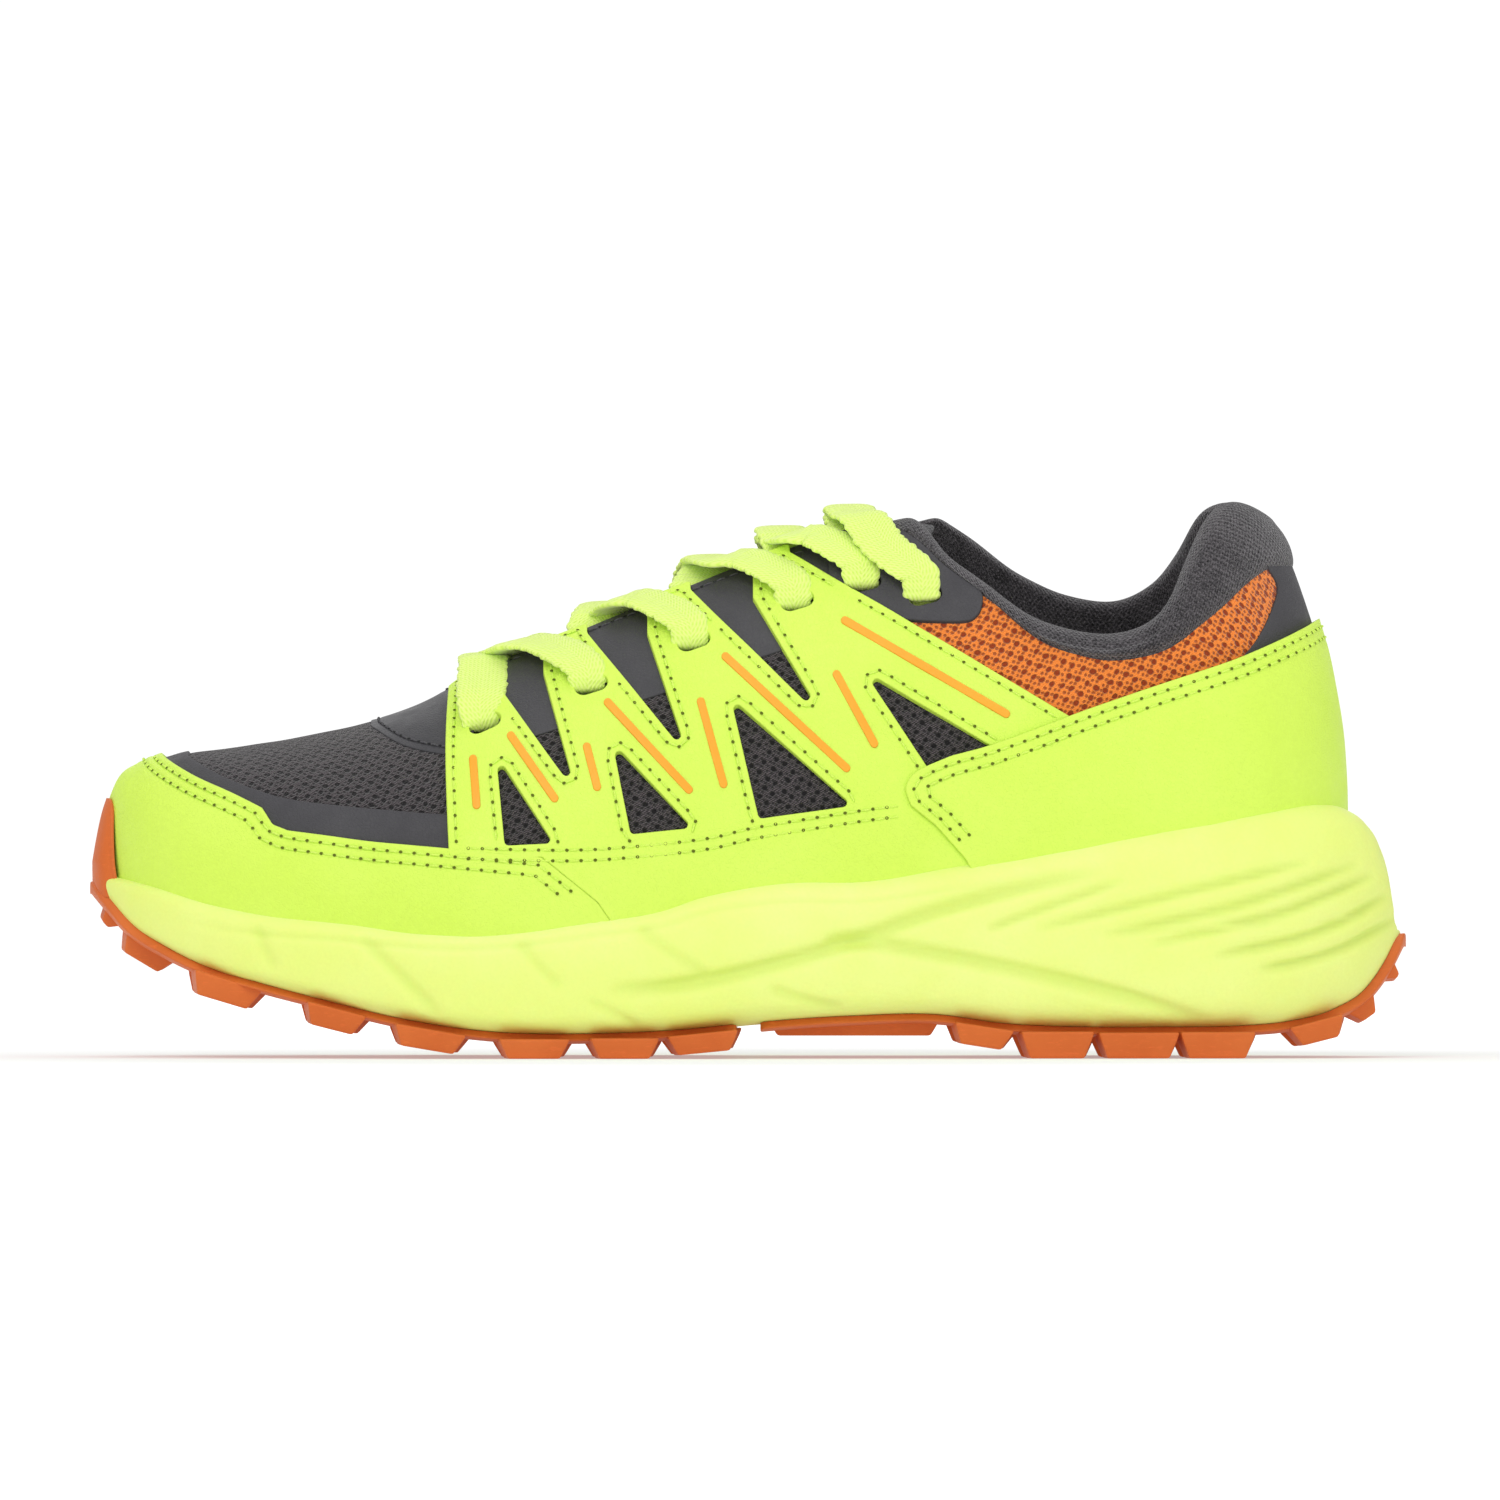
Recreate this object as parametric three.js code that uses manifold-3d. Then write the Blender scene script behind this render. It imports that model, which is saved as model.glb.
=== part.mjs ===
// A left trail running shoe in millimetres: toe towards -X, heel towards +X, outer (lateral) side towards -Y,
// soles on z = 0. The upper is a stack of thin layers over one arched reference surface, cut to their
// outlines, which are drawn in side view (x, z) or in plan (x, y). Everything under the upper follows the
// same profiles, and every piece keeps a small gap to its neighbours.
import * as THREE from "three";
import { mergeVertices } from "three/addons/utils/BufferGeometryUtils.js";
import Module from "manifold-3d";

const wasm = await Module();
wasm.setup();

// ---- driving dimensions, mm
const LENGTH = 280; // overall, toe bumper to heel
const BREADTH = 100; // overall, across the ball of the foot
const HEIGHT = 118; // overall, ground to the top of the heel collar
const GAP = 0.35; // between neighbouring pieces
const MESH = 0.9; // knitted mesh and synthetic panels
const OVERLAY = 1.1; // stitched outer overlays
const STIFFENER = 1.2; // toe puff and heel counter
const LINING = 0.8; // inner lining
const COLLAR_FOAM = 4.6; // padding round the ankle
const TONGUE_FOAM = 4; // padding in the tongue
const BOARD = 1.2; // strobel board
const SOCKLINER = 4; // removable footbed
const OUTSOLE = 1.3; // rubber sheet between the lugs
const BAR_THICKNESS = 0.4; // heat-bonded accent bars
const BAR_WIDTH = 2; // across an accent bar
const LACE_WIDTH = 7; // flat lace, laid out
const LACE_THICKNESS = 1.3;
const EYELET_DIAMETER = 6.6; // punched lace holes
const AGLET_DIAMETER = 3; // lace tips
const AGLET_LENGTH = 14;

// The outlines below are drawn for this size and graded to the size that is set above.
const DRAWN = { length: 280, breadth: 100, height: 118 };
const SX = LENGTH / DRAWN.length;
const SY = BREADTH / DRAWN.breadth;
const SZ = HEIGHT / DRAWN.height;

// ---- layers of the upper, as offsets from the reference surface
const MESH_LEVEL = [-MESH, 0];
const OVERLAY_LEVEL = [1.3 * GAP, 1.3 * GAP + OVERLAY];
const BAR_LEVEL = [OVERLAY_LEVEL[1] + GAP, OVERLAY_LEVEL[1] + GAP + BAR_THICKNESS];
const STIFFENER_LEVEL = [-MESH - GAP - STIFFENER, -MESH - GAP];
const LINING_FACE = STIFFENER_LEVEL[0] - GAP - LINING; // the face that the foot touches
const LINING_LEVEL = [LINING_FACE, -MESH - GAP];
const LACE_UNDER = -MESH - 1.5 * GAP - LACE_THICKNESS / 2; // a strand under an eyelet flap
const LACE_OVER = OVERLAY_LEVEL[1] + 2.2 * GAP + LACE_THICKNESS / 2; // a strand on top of a flap
const TONGUE_TOP = LINING_FACE - GAP;
const LACE_LOW = TONGUE_TOP + 3.6 * GAP + LACE_THICKNESS / 2; // the lower strand where two cross
const LACE_HIGH = LACE_LOW + 1.5 * GAP + LACE_THICKNESS;

// ---- mesh resolution
const TOE_STEPS = 6;
const MIDDLE_STEPS = 12;
const HEEL_STEPS = 5;
const ROWS = [0, 12, 24, 36, 54, 72, 90]; // degrees down from the ridge
const SOLE_ANGLES = 16;
const CURVE_STEP = 7; // mm along a curved outline
const FAR = 90; // past everything sideways

// ---- small tools

// A smooth curve y(x) through points in order of x; flat past both ends.
function profile(points, scaleX = SX, scaleY = 1) {
  const p = points.map(([x, y]) => [x * scaleX, y * scaleY]);
  const last = p.length - 1;
  const secant = (i) => (p[i + 1][1] - p[i][1]) / (p[i + 1][0] - p[i][0]);
  const slope = p.map((_, i) => {
    if (i === 0) return secant(0);
    if (i === last) return secant(last - 1);
    const before = p[i][0] - p[i - 1][0];
    const after = p[i + 1][0] - p[i][0];
    return (secant(i - 1) * after + secant(i) * before) / (before + after);
  });
  return (x) => {
    if (x <= p[0][0]) return p[0][1];
    if (x >= p[last][0]) return p[last][1];
    let i = 0;
    while (x > p[i + 1][0]) i++;
    const w = p[i + 1][0] - p[i][0];
    const t = (x - p[i][0]) / w;
    const s = 1 - t;
    return (
      p[i][1] * (1 + 2 * t) * s * s +
      p[i + 1][1] * (1 + 2 * s) * t * t +
      w * t * s * (slope[i] * s - slope[i + 1] * t)
    );
  };
}

// A solid from shared vertices and triangles, turned to face out.
function solidFrom(vertices, triangles) {
  const seen = new Map();
  const merged = [];
  const index = vertices.map((v) => {
    const key = v.map((c) => Math.round(c * 1e4)).join();
    if (!seen.has(key)) {
      seen.set(key, merged.length);
      merged.push(v);
    }
    return seen.get(key);
  });
  const kept = triangles
    .map((t) => t.map((i) => index[i]))
    .filter(([a, b, c]) => a !== b && b !== c && c !== a);
  const volume = kept.reduce((sum, [a, b, c]) => {
    const [p, q, r] = [a, b, c].map((i) => new THREE.Vector3(...merged[i]));
    return sum + p.dot(q.cross(r));
  }, 0);
  const faces = volume < 0 ? kept.map(([a, b, c]) => [a, c, b]) : kept;
  return new wasm.Manifold(
    new wasm.Mesh({
      numProp: 3,
      vertProperties: new Float32Array(merged.flat()),
      triVerts: new Uint32Array(faces.flat()),
    }),
  );
}

// A solid through closed rings of points; an end that doesn't fold shut by itself is capped.
function loft(rings, capped = false) {
  const n = rings[0].length;
  const triangles = [];
  for (let i = 0; i + 1 < rings.length; i++)
    for (let j = 0; j < n; j++) {
      const k = (j + 1) % n;
      const [a, b, c, d] = [i * n + j, i * n + k, (i + 1) * n + k, (i + 1) * n + j];
      triangles.push([a, b, c], [a, c, d]);
    }
  if (capped) {
    const end = (rings.length - 1) * n;
    for (let j = 1; j + 1 < n; j++) {
      triangles.push([0, j + 1, j], [end, end + j, end + j + 1]);
    }
  }
  return solidFrom(rings.flat(), triangles);
}

function solidOf(geometry) {
  const g = geometry.clone();
  g.deleteAttribute("normal");
  g.deleteAttribute("uv");
  const m = mergeVertices(g, 1e-4);
  return new wasm.Manifold(
    new wasm.Mesh({
      numProp: 3,
      vertProperties: new Float32Array(m.attributes.position.array),
      triVerts: new Uint32Array(m.index.array),
    }),
  );
}

function geometryOf(solid) {
  const m = solid.getMesh();
  const g = new THREE.BufferGeometry();
  g.setAttribute("position", new THREE.BufferAttribute(new Float32Array(m.vertProperties), 3));
  g.setIndex(new THREE.BufferAttribute(new Uint32Array(m.triVerts), 1));
  g.computeVertexNormals();
  return g;
}

// The main body of a cut, without the slivers that a curved edge can leave.
function mainBody(solid) {
  return solid.decompose().reduce((a, b) => (a.volume() > b.volume() ? a : b));
}

// An outline from runs of points: two points are a straight edge, more are a smooth curve through them.
function outline(...runs) {
  const points = [];
  for (const run of runs) {
    const p = run.map(([x, z]) => new THREE.Vector2(x, z));
    const curve = new THREE.SplineCurve(p);
    const made = p.length > 2 ? curve.getSpacedPoints(Math.ceil(curve.getLength() / CURVE_STEP)) : p;
    for (const q of made)
      if (!points.length || points[points.length - 1].distanceTo(q) > 0.01) points.push(q);
  }
  if (points[0].distanceTo(points[points.length - 1]) < 0.01) points.pop();
  return THREE.ShapeUtils.isClockWise(points) ? points.reverse() : points;
}

// An outline moved in by a distance, or out by a negative one.
function inset(points, distance) {
  return points.map((p, i) => {
    const before = points[(i + points.length - 1) % points.length];
    const after = points[(i + 1) % points.length];
    const n1 = new THREE.Vector2(before.y - p.y, p.x - before.x).normalize();
    const n2 = new THREE.Vector2(p.y - after.y, after.x - p.x).normalize();
    const sharp = Math.max(1 + n1.dot(n2), 0.5);
    return p.clone().addScaledVector(n1.add(n2), distance / sharp);
  });
}

// A side-view outline, graded to size and extruded from y = low to y = high.
function sidePrism(points, low = -FAR, high = FAR, grow = 0) {
  const graded = points.map((p) => new THREE.Vector2(p.x * SX, p.y * SZ));
  const shape = new THREE.Shape(inset(graded, -grow));
  const g = new THREE.ExtrudeGeometry(shape, { depth: high - low, bevelEnabled: false });
  g.rotateX(Math.PI / 2);
  g.translate(0, high, 0);
  return solidOf(g);
}

// A plan-view outline of a half width h(x) round the centre line, extruded over the whole height.
function planPrism(halfWidth, from, to, steps = 14) {
  const xs = Array.from({ length: steps + 1 }, (_, i) => from + ((to - from) * i) / steps);
  const edge = (side) => xs.map((x) => new THREE.Vector2(x, upper.centre(x) + side * halfWidth(x)));
  const shape = new THREE.Shape([...edge(-1), ...edge(1).reverse()]);
  return solidOf(new THREE.ExtrudeGeometry(shape, { depth: 2 * HEIGHT, bevelEnabled: false }));
}

// ---- profiles of the last (the foot form) and of the sole
const upper = {
  toe: -134.4 * SX,
  heel: 125 * SX,
  toeRound: 46,
  heelRound: 34,
  centre: profile([[-135, 9.5], [-100, 6.5], [-60, 2.5], [-30, 1.5], [126, 1.5]], SX, SY),
  lateral: profile([[-135, 41], [-100, 41.5], [-60, 46.5], [-35, 47], [10, 40.5], [60, 35.5], [95, 34], [126, 33]], SX, SY),
  medial: profile([[-135, 36], [-100, 37], [-62, 43.5], [-35, 42.5], [10, 35], [60, 33.5], [95, 33.5], [126, 32]], SX, SY),
  base: profile(
    [[-135, 34.8], [-126, 32.2], [-116, 29.5], [-95, 26.3], [-74, 24.8], [-52, 24.4], [-31, 25.3], [-10, 27], [11, 29.1],
      [32, 31.6], [54, 34], [75, 36.1], [96, 37.4], [126, 38]],
    SX,
    SZ,
  ),
  ridge: profile(
    [[-134.6, 52.5], [-132.8, 57], [-128.5, 61], [-121.5, 63.7], [-106, 66.2], [-91, 68.8], [-74, 73.2], [-65, 77.2],
      [-57, 83], [-48, 88.2], [-40, 92], [-27, 97.6], [-12, 104.4], [6, 112], [20, 116.3], [33, 119], [42, 121.2],
      [54, 126], [75, 136], [96, 143], [126, 146]],
    SX,
    SZ,
  ),
  fullness: profile([[-135, 2.4], [-100, 2.4], [-60, 2.05], [0, 1.9], [50, 2], [126, 2.2]]),
};
const sole = {
  toe: -138.35 * SX,
  heel: 138.35 * SX,
  toeRound: 50,
  heelRound: 46,
  centre: upper.centre,
  lateral: profile([[-137, 43], [-100, 44.5], [-60, 50], [-35, 51], [10, 46], [60, 41.5], [95, 40.5], [139, 38]], SX, SY),
  medial: profile([[-137, 38], [-100, 41], [-62, 47.5], [-35, 47], [10, 40], [60, 38.5], [95, 39], [139, 37]], SX, SY),
  top: profile(
    [[-138, 38.6], [-125, 37.6], [-112, 35], [-101, 33.6], [-86, 32.8], [-63, 31], [-53, 31.4], [-42, 32.6], [-32, 34.2],
      [-17, 36.4], [-10, 38.4], [5, 40.8], [27, 41.4], [44, 44.4], [54, 46.4], [78, 51.2], [97, 54.6], [112, 55.2],
      [121, 54.6], [127, 52.6], [131, 49.8], [134, 45.2], [136.2, 38], [137.8, 27]],
    SX,
    SZ,
  ),
  bottom: profile(
    [[-138, 36.2], [-135, 32.6], [-131, 28], [-123, 22.7], [-115, 18.8], [-102, 14.9], [-89, 11.5], [-75, 8.1],
      [-61, 5.7], [-53, 4.9], [-32, 4.6], [-13, 5.5], [0, 6.8], [22, 8.3], [41, 8.5], [53, 6.8], [73, 5.9], [87, 5.9],
      [105, 6.2], [114, 7], [124.5, 9.8], [131, 14], [135.5, 20.4], [137.8, 25]],
    SX,
    SZ,
  ),
  wallSquare: 6, // superellipse powers of the section
  treadSquare: 8,
  middle: 0.45, // share of the height where the wall is widest
};
const END_SHAPE = 0.9; // how full the toe and heel are in plan
const HEEL_LEAN = { from: 50 * SX, start: 54.5 * SZ, rise: 54 * SZ, reach: 11.5 };
const throatHalf = profile([[-63, 3], [-60, 8.5], [-50, 12.6], [-20, 13.6], [11, 13], [33, 12.4], [60, 12.4]], SX, SY);
const tongueHalf = profile([[-60, 5], [-56, 11], [-46, 16], [-20, 18.5], [20, 19], [34, 18.5], [41, 12]], SX, SY);
const THROAT_FROM = -62.4 * SX;
const TONGUE_FROM = -58.6 * SX;
const TONGUE_TO = 41 * SX;

// Stations along a body: x, how far the offset shifts it there, and how wide it is, from 0 at a tip to 1.
function stations(body, offset) {
  const half = Math.PI / 2;
  const toeEnd = body.toe + body.toeRound;
  const heelEnd = body.heel - body.heelRound;
  const list = [];
  for (let i = 0; i < TOE_STEPS; i++) {
    const a = (half * i) / TOE_STEPS;
    const x = toeEnd - body.toeRound * Math.cos(a);
    list.push({ x, shift: -offset * Math.cos(a), wide: Math.sin(a) ** END_SHAPE });
  }
  for (let i = 0; i < MIDDLE_STEPS; i++)
    list.push({ x: toeEnd + ((heelEnd - toeEnd) * i) / MIDDLE_STEPS, shift: 0, wide: 1 });
  for (let i = HEEL_STEPS; i >= 0; i--) {
    const a = (half * i) / HEEL_STEPS;
    const x = heelEnd + body.heelRound * Math.cos(a);
    list.push({ x, shift: offset * Math.cos(a), wide: Math.sin(a) ** END_SHAPE });
  }
  return list;
}

// How wide a body is at x, as stations() has it.
function wideAt(body, x) {
  const past = Math.max((body.toe + body.toeRound - x) / body.toeRound, (x - body.heel + body.heelRound) / body.heelRound, 0);
  return Math.sin(Math.acos(Math.min(past, 1))) ** END_SHAPE;
}

// A point of the upper's arch. fall is the angle from the ridge: -90 at the lateral base, 90 at the medial base.
function archPoint(x, wide, fall, offset, shift = 0) {
  const a = THREE.MathUtils.degToRad(90 - Math.abs(fall));
  const power = 2 / upper.fullness(x);
  const half = ((fall < 0 ? upper.lateral(x) : upper.medial(x)) + offset) * wide;
  const base = upper.base(x);
  const z = base + (upper.ridge(x) - base + offset) * Math.sin(a) ** power;
  const share = Math.max((x - HEEL_LEAN.from) / (upper.heel - HEEL_LEAN.from), 0) ** 1.5;
  const lean = HEEL_LEAN.reach * (Math.max(z - HEEL_LEAN.start, 0) / HEEL_LEAN.rise) ** 2;
  return [x + shift - lean * share, upper.centre(x) + Math.sign(fall) * half * Math.abs(Math.cos(a)) ** power, z];
}

// The fall angle at which the lateral (-1) or medial (1) side is z high.
function fallAt(x, z, side) {
  const share = (z - upper.base(x)) / (upper.ridge(x) - upper.base(x));
  return side * (90 - THREE.MathUtils.radToDeg(Math.asin(share ** (upper.fullness(x) / 2))));
}

// A point on the flat facets of the arch, away from its ends.
function facetPoint(x, fall, offset) {
  const start = upper.toe + upper.toeRound;
  const step = (upper.heel - upper.heelRound - start) / MIDDLE_STEPS;
  const cell = Math.floor((x - start) / step);
  const row = Math.max(ROWS.findIndex((r) => r >= Math.abs(fall)), 1);
  const [f0, f1] = [ROWS[row - 1], ROWS[row]];
  const side = fall < 0 ? -1 : 1;
  const t = (x - start) / step - cell;
  const u = (Math.abs(fall) - f0) / (f1 - f0);
  const corner = (i, f) => new THREE.Vector3(...archPoint(start + i * step, 1, side * f, offset));
  const near = corner(cell, f0).lerp(corner(cell + 1, f0), t);
  return near.lerp(corner(cell, f1).lerp(corner(cell + 1, f1), t), u);
}

// Everything under the reference surface moved out by offset, down to the base less drop.
function arch(offset, drop = 0) {
  const falls = [...ROWS.slice(1).reverse().map((fall) => -fall), ...ROWS];
  return loft(
    stations(upper, offset).map(({ x, shift, wide }) => {
      const ring = falls.map((fall) => archPoint(x, wide, fall, offset, shift));
      const [first, last] = [ring[0], ring[ring.length - 1]];
      const low = [first, last].map(([px, py, pz]) => [px, py, pz - drop]);
      return drop ? [low[0], ...ring, low[1]] : ring;
    }),
  );
}

const CUT_PAST = 8; // how far a cutter runs past the base
const level = ([inner, outer], drop = 0) => arch(outer, drop).subtract(arch(inner, CUT_PAST));

// The sole's outer shape, moved out by offset.
function soleBody(offset) {
  return loft(
    stations(sole, offset).map(({ x, shift, wide }) => {
      const top = sole.top(x) + offset;
      const bottom = sole.bottom(x) - offset;
      const middle = bottom + (top - bottom) * sole.middle;
      return Array.from({ length: SOLE_ANGLES }, (_, k) => {
        const a = (2 * Math.PI * k) / SOLE_ANGLES;
        const [c, s] = [Math.cos(a), Math.sin(a)];
        const power = 2 / (s > 0 ? sole.wallSquare : sole.treadSquare);
        const half = ((c < 0 ? sole.lateral(x) : sole.medial(x)) + offset) * wide;
        const reach = s > 0 ? top - middle : middle - bottom;
        return [
          x + shift,
          sole.centre(x) + Math.sign(c) * half * Math.abs(c) ** power,
          middle + Math.sign(s) * reach * Math.abs(s) ** power,
        ];
      });
    }),
  );
}

// A flat-lying sheet that follows the base, moved in from the upper's wall.
function footSlab(offset, low, high) {
  return loft(
    stations(upper, offset).map(({ x, shift, wide }) => {
      const z = upper.base(x);
      const y = (side) =>
        upper.centre(x) + side * wide * ((side < 0 ? upper.lateral(x) : upper.medial(x)) + offset);
      const across = [y(-1), upper.centre(x), y(1)];
      const row = (height) => across.map((v) => [x + shift, v, z + height]);
      return [...row(low), ...row(high).reverse()];
    }),
  );
}

// ---- outlines in side view, drawn for the DRAWN size
const TOP = 160; // above everything
const LOW = -20; // below everything
const guardEdge = [[-122.4, 66], [-123.7, 63.4], [-117.3, 59.2], [-109, 55.4], [-102.4, 52.2]];
const guardBack = [[-97.1, 47.6], [-80, 45.4], [-62.7, 43.9], [-43.5, 42.2]];
const foxingTop = [[43, 63.2], [53.6, 66.2], [74.8, 74], [96, 81.1], [106.7, 85.3], [117.3, 90.6], [124, 95.5]];
const foxingFront = [[34.5, 52.9], [33.4, 56.6], [35.8, 60], [43, 63.2]];
const collarLateral = [
  [33.4, 115.5], [37.7, 112.6], [42.6, 106], [52.3, 98], [62, 92.4], [74.6, 89.8], [83.5, 91.6], [89.6, 97], [93.6, 105.1],
  [98.2, 112.9], [102, 116.6], [106, 118], [110.5, 116], [115.5, 111.5],
];
const collarMedial = [
  [33.4, 116], [38.5, 114], [48.3, 106.1], [58, 100.2], [67.8, 96.4], [77.6, 95.6], [85.4, 99.3], [91.8, 106.1],
  [97.1, 114], [101, 117.2], [106, 118], [110.5, 116], [115.5, 111.5],
];
const bandEdge = [[49.8, 98.3], [58, 91.1], [67.8, 85.8], [77.6, 84.2], [87.4, 86], [97.1, 92.4], [105, 99.8], [109.9, 103.6]];
const heelTabFront = [[109.9, 103.6], [112, 100], [111.3, 95.8], [107.7, 88.5], [102, 81.7], [98, 74]];

const outlines = {
  toeGuard: outline(
    [[-150, LOW], [-150, 66]], [[-150, 66], guardEdge[0]], guardEdge, [guardEdge[4], [-100.2, 48.8]],
    [[-100.2, 48.8], guardBack[0]], guardBack, [guardBack[3], [-31.7, 32.9]], [[-31.7, 32.9], [-24, 22]], [[-24, 22], [-24, LOW]],
  ),
  toeStrip: outline(
    [guardEdge[0], ...guardEdge.slice(1)], [guardEdge[4], [-100.2, 48.8]], [[-100.2, 48.8], guardBack[0]],
    guardBack.slice(0, 3), [[-62.7, 43.9], [-63.6, 51.4]],
    [[-63.6, 51.4], [-83.3, 52.9], [-97.8, 54.8], [-109.6, 58.6], [-118.2, 63.4]], [[-118.2, 63.4], [-117.4, 66]],
  ),
  saddle: outline(
    [[-80, 69.6], [-73.6, 66.2], [-66, 64.4], [-60, 63.4]], [[-60, 63.4], [-60, TOP]], [[-60, TOP], [-84, TOP]],
    [[-84, TOP], [-80, 69.6]],
  ),
  vamp: outline([[-150, LOW], [-60, LOW]], [[-60, LOW], [-60, TOP]], [[-60, TOP], [-150, TOP]]),
  quarter: outline(
    [[-60, LOW], [-60, 63.4]], [[-60, 63.4], [-37, 70.5], [-13.7, 78.5], [9, 86.8]], [[9, 86.8], [27, 88.4]],
    [[27, 88.4], [66, 65.2]], [[66, 65.2], [80, 56]], [[80, 56], [80, LOW]],
  ),
  eyestay: outline(
    [[-60, TOP], [-60, 63.4]], [[-60, 63.4], [-37, 70.5], [-13.7, 78.5], [9, 86.8]], [[9, 86.8], [17.2, 87.6]],
    [[17.2, 87.6], [17.2, TOP]],
  ),
  topTab: outline(
    [[17.2, TOP], [17.2, 87.6]], [[17.2, 87.6], [27, 88.4]], [[27, 88.4], [33, 92.3]], [[33, 92.3], [46.4, 92.3], [49.4, 94], [49.8, 98.3]],
    [[49.8, 98.3], [42, 103.4], [36.8, 108.4], [34.2, 113]], [[34.2, 113], [33.6, TOP]],
  ),
  collarMesh: outline(
    [[33, 92.3], [27, 88.4]], [[27, 88.4], [66, 65.2]], [[66, 65.2], [80, 56]], [[80, 56], [80, LOW]], [[80, LOW], [98, LOW]], [[98, LOW], [98, 74]],
    [...heelTabFront].reverse(), [...bandEdge].reverse(), [[49.8, 98.3], [49.4, 94], [46.4, 92.3], [33, 92.3]],
  ),
  heelTab: outline(
    [[98, LOW], [98, 74]], [...heelTabFront].reverse(), [[109.9, 103.6], [116, 108]], [[116, 108], [150, 112]], [[150, 112], [150, LOW]],
  ),
  quarterOverlay: outline(
    [[-63, 43.9], [-64, 64], [-63.4, 81]], [[-63.4, 81], [-63.4, TOP]], [[-63.4, TOP], [6, TOP]], [[6, TOP], [9, 106]],
    [[9, 106], [16.2, 101.7]], [[16.2, 101.7], [31.7, 93]], [[31.7, 93], [68.2, 71.6]],
    [[68.2, 71.6], [53.6, 66.2], [43, 63.2]], [...foxingFront].reverse(), [[34.5, 52.9], [39.8, 48.8]], [[39.8, 48.8], [46, 42]],
    [[46, 42], [54, 28]], [[54, 28], [54, LOW]], [[54, LOW], [-24, LOW]], [[-24, LOW], [-24, 22]], [[-24, 22], [-31.7, 32.9]],
    [[-31.7, 32.9], [-43.5, 42.2]],
  ),
  foxing: outline(
    [[54, LOW], [54, 28]], [[54, 28], [46, 42]], [[46, 42], [39.8, 48.8]], [[39.8, 48.8], [34.5, 52.9]], foxingFront, foxingTop,
    [[124, 95.5], [150, 97]], [[150, 97], [150, LOW]],
  ),
  toePuff: outline([[-150, LOW], [-150, TOP]], [[-150, TOP], [-112, TOP]], [[-112, TOP], [-106, 50], [-98, 36], [-96, 28]], [[-96, 28], [-96, LOW]]),
  counter: outline(
    [[72, LOW], [72, 40]], [[72, 40], [76, 57], [90, 61.6], [104, 70], [118, 78]], [[118, 78], [150, 80]], [[150, 80], [150, LOW]],
  ),
  quarterLining: outline(
    [[-60, LOW], [-60, 60]], [[-60, 60], [-34, 71], [-12, 80], [9.7, 88], [24, 88]], [[24, 88], [34, 85.5]],
    [[34, 85.5], [43.6, 85]], [[43.6, 85], [48, 78], [57.6, 70.6], [70, 64.6]], [[70, 64.6], [70, LOW]],
  ),
  rearLining: outline(
    [[43.6, TOP], [43.6, 85]], [[43.6, 85], [48, 78], [57.6, 70.6], [70, 64.6]], [[70, 64.6], [70, LOW]], [[70, LOW], [150, LOW]], [[150, LOW], [150, TOP]],
  ),
  foam: outline(
    [[46, TOP], [46, 90]], [[46, 90], [50, 81], [59, 73.4], [74, 68], [90, 70], [104, 78], [118, 83]], [[118, 83], [150, 85]], [[150, 85], [150, TOP]],
  ),
  band: outline(
    [[43.6, TOP], [43.6, 102.2]], [[43.6, 102.2], [49.8, 98.3]], bandEdge, [[109.9, 103.6], [116, 108]], [[116, 108], [150, 112]], [[150, 112], [150, TOP]],
  ),
  collarLateral: outline([[-150, LOW], [-150, TOP]], [[-150, TOP], [33, TOP]], [[33, TOP], collarLateral[0]], collarLateral, [[115.5, 111.5], [150, 100]], [[150, 100], [150, LOW]]),
  collarMedial: outline([[-150, LOW], [-150, TOP]], [[-150, TOP], [33, TOP]], [[33, TOP], collarMedial[0]], collarMedial, [[115.5, 111.5], [150, 100]], [[150, 100], [150, LOW]]),
};
// Windows cut in the overlay: notches open at the throat, and closed triangles.
const windows = [
  outline([[-53.5, 78.6], [-53.5, TOP]], [[-53.5, TOP], [-43.3, TOP]], [[-43.3, TOP], [-43.3, 80.7]], [[-43.3, 80.7], [-36.4, 57.4]], [[-36.4, 57.4], [-38, 57]]),
  outline([[-34, 88.9], [-34, TOP]], [[-34, TOP], [-21.3, TOP]], [[-21.3, TOP], [-21.3, 88.9]], [[-21.3, 88.9], [-13, 65.8]], [[-13, 65.8], [-14.6, 65.2]]),
  outline([[-12.1, 98.1], [-12.1, TOP]], [[-12.1, TOP], [1.1, TOP]], [[1.1, TOP], [1.1, 96.4]], [[1.1, 96.4], [15.6, 73]], [[15.6, 73], [14.2, 72.4]]),
  outline([[-53.2, 60.8], [-52.4, 61]], [[-52.4, 61], [-41.5, 45.3]], [[-41.5, 45.3], [-51.1, 44.8]]),
  outline([[-28.6, 63.2], [-27, 63.8]], [[-27, 63.8], [-12.5, 48.6]], [[-12.5, 48.6], [-24.5, 47.3]]),
  outline([[-3.6, 72.4], [-2, 73]], [[-2, 73], [21.1, 53.2]], [[21.1, 53.2], [2.6, 50.6]]),
  outline([[25.6, 79], [27.4, 79.6]], [[27.4, 79.6], [52.6, 64.2]], [[52.6, 64.2], [38.7, 60.7]]),
];
const bars = [
  [[-58.1, 62.3], [-57.3, 52.8]], [[-50.1, 67.2], [-40.8, 54.3]], [[-34, 65], [-31.8, 56.7]], [[-29.6, 74.2], [-12.4, 56.2]],
  [[-9.9, 74.5], [-5.1, 57.4]], [[-4.7, 83.9], [20.9, 60.8]], [[18.8, 80.3], [26.8, 65.9]], [[20.6, 91.5], [54.7, 72.2]],
];
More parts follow.
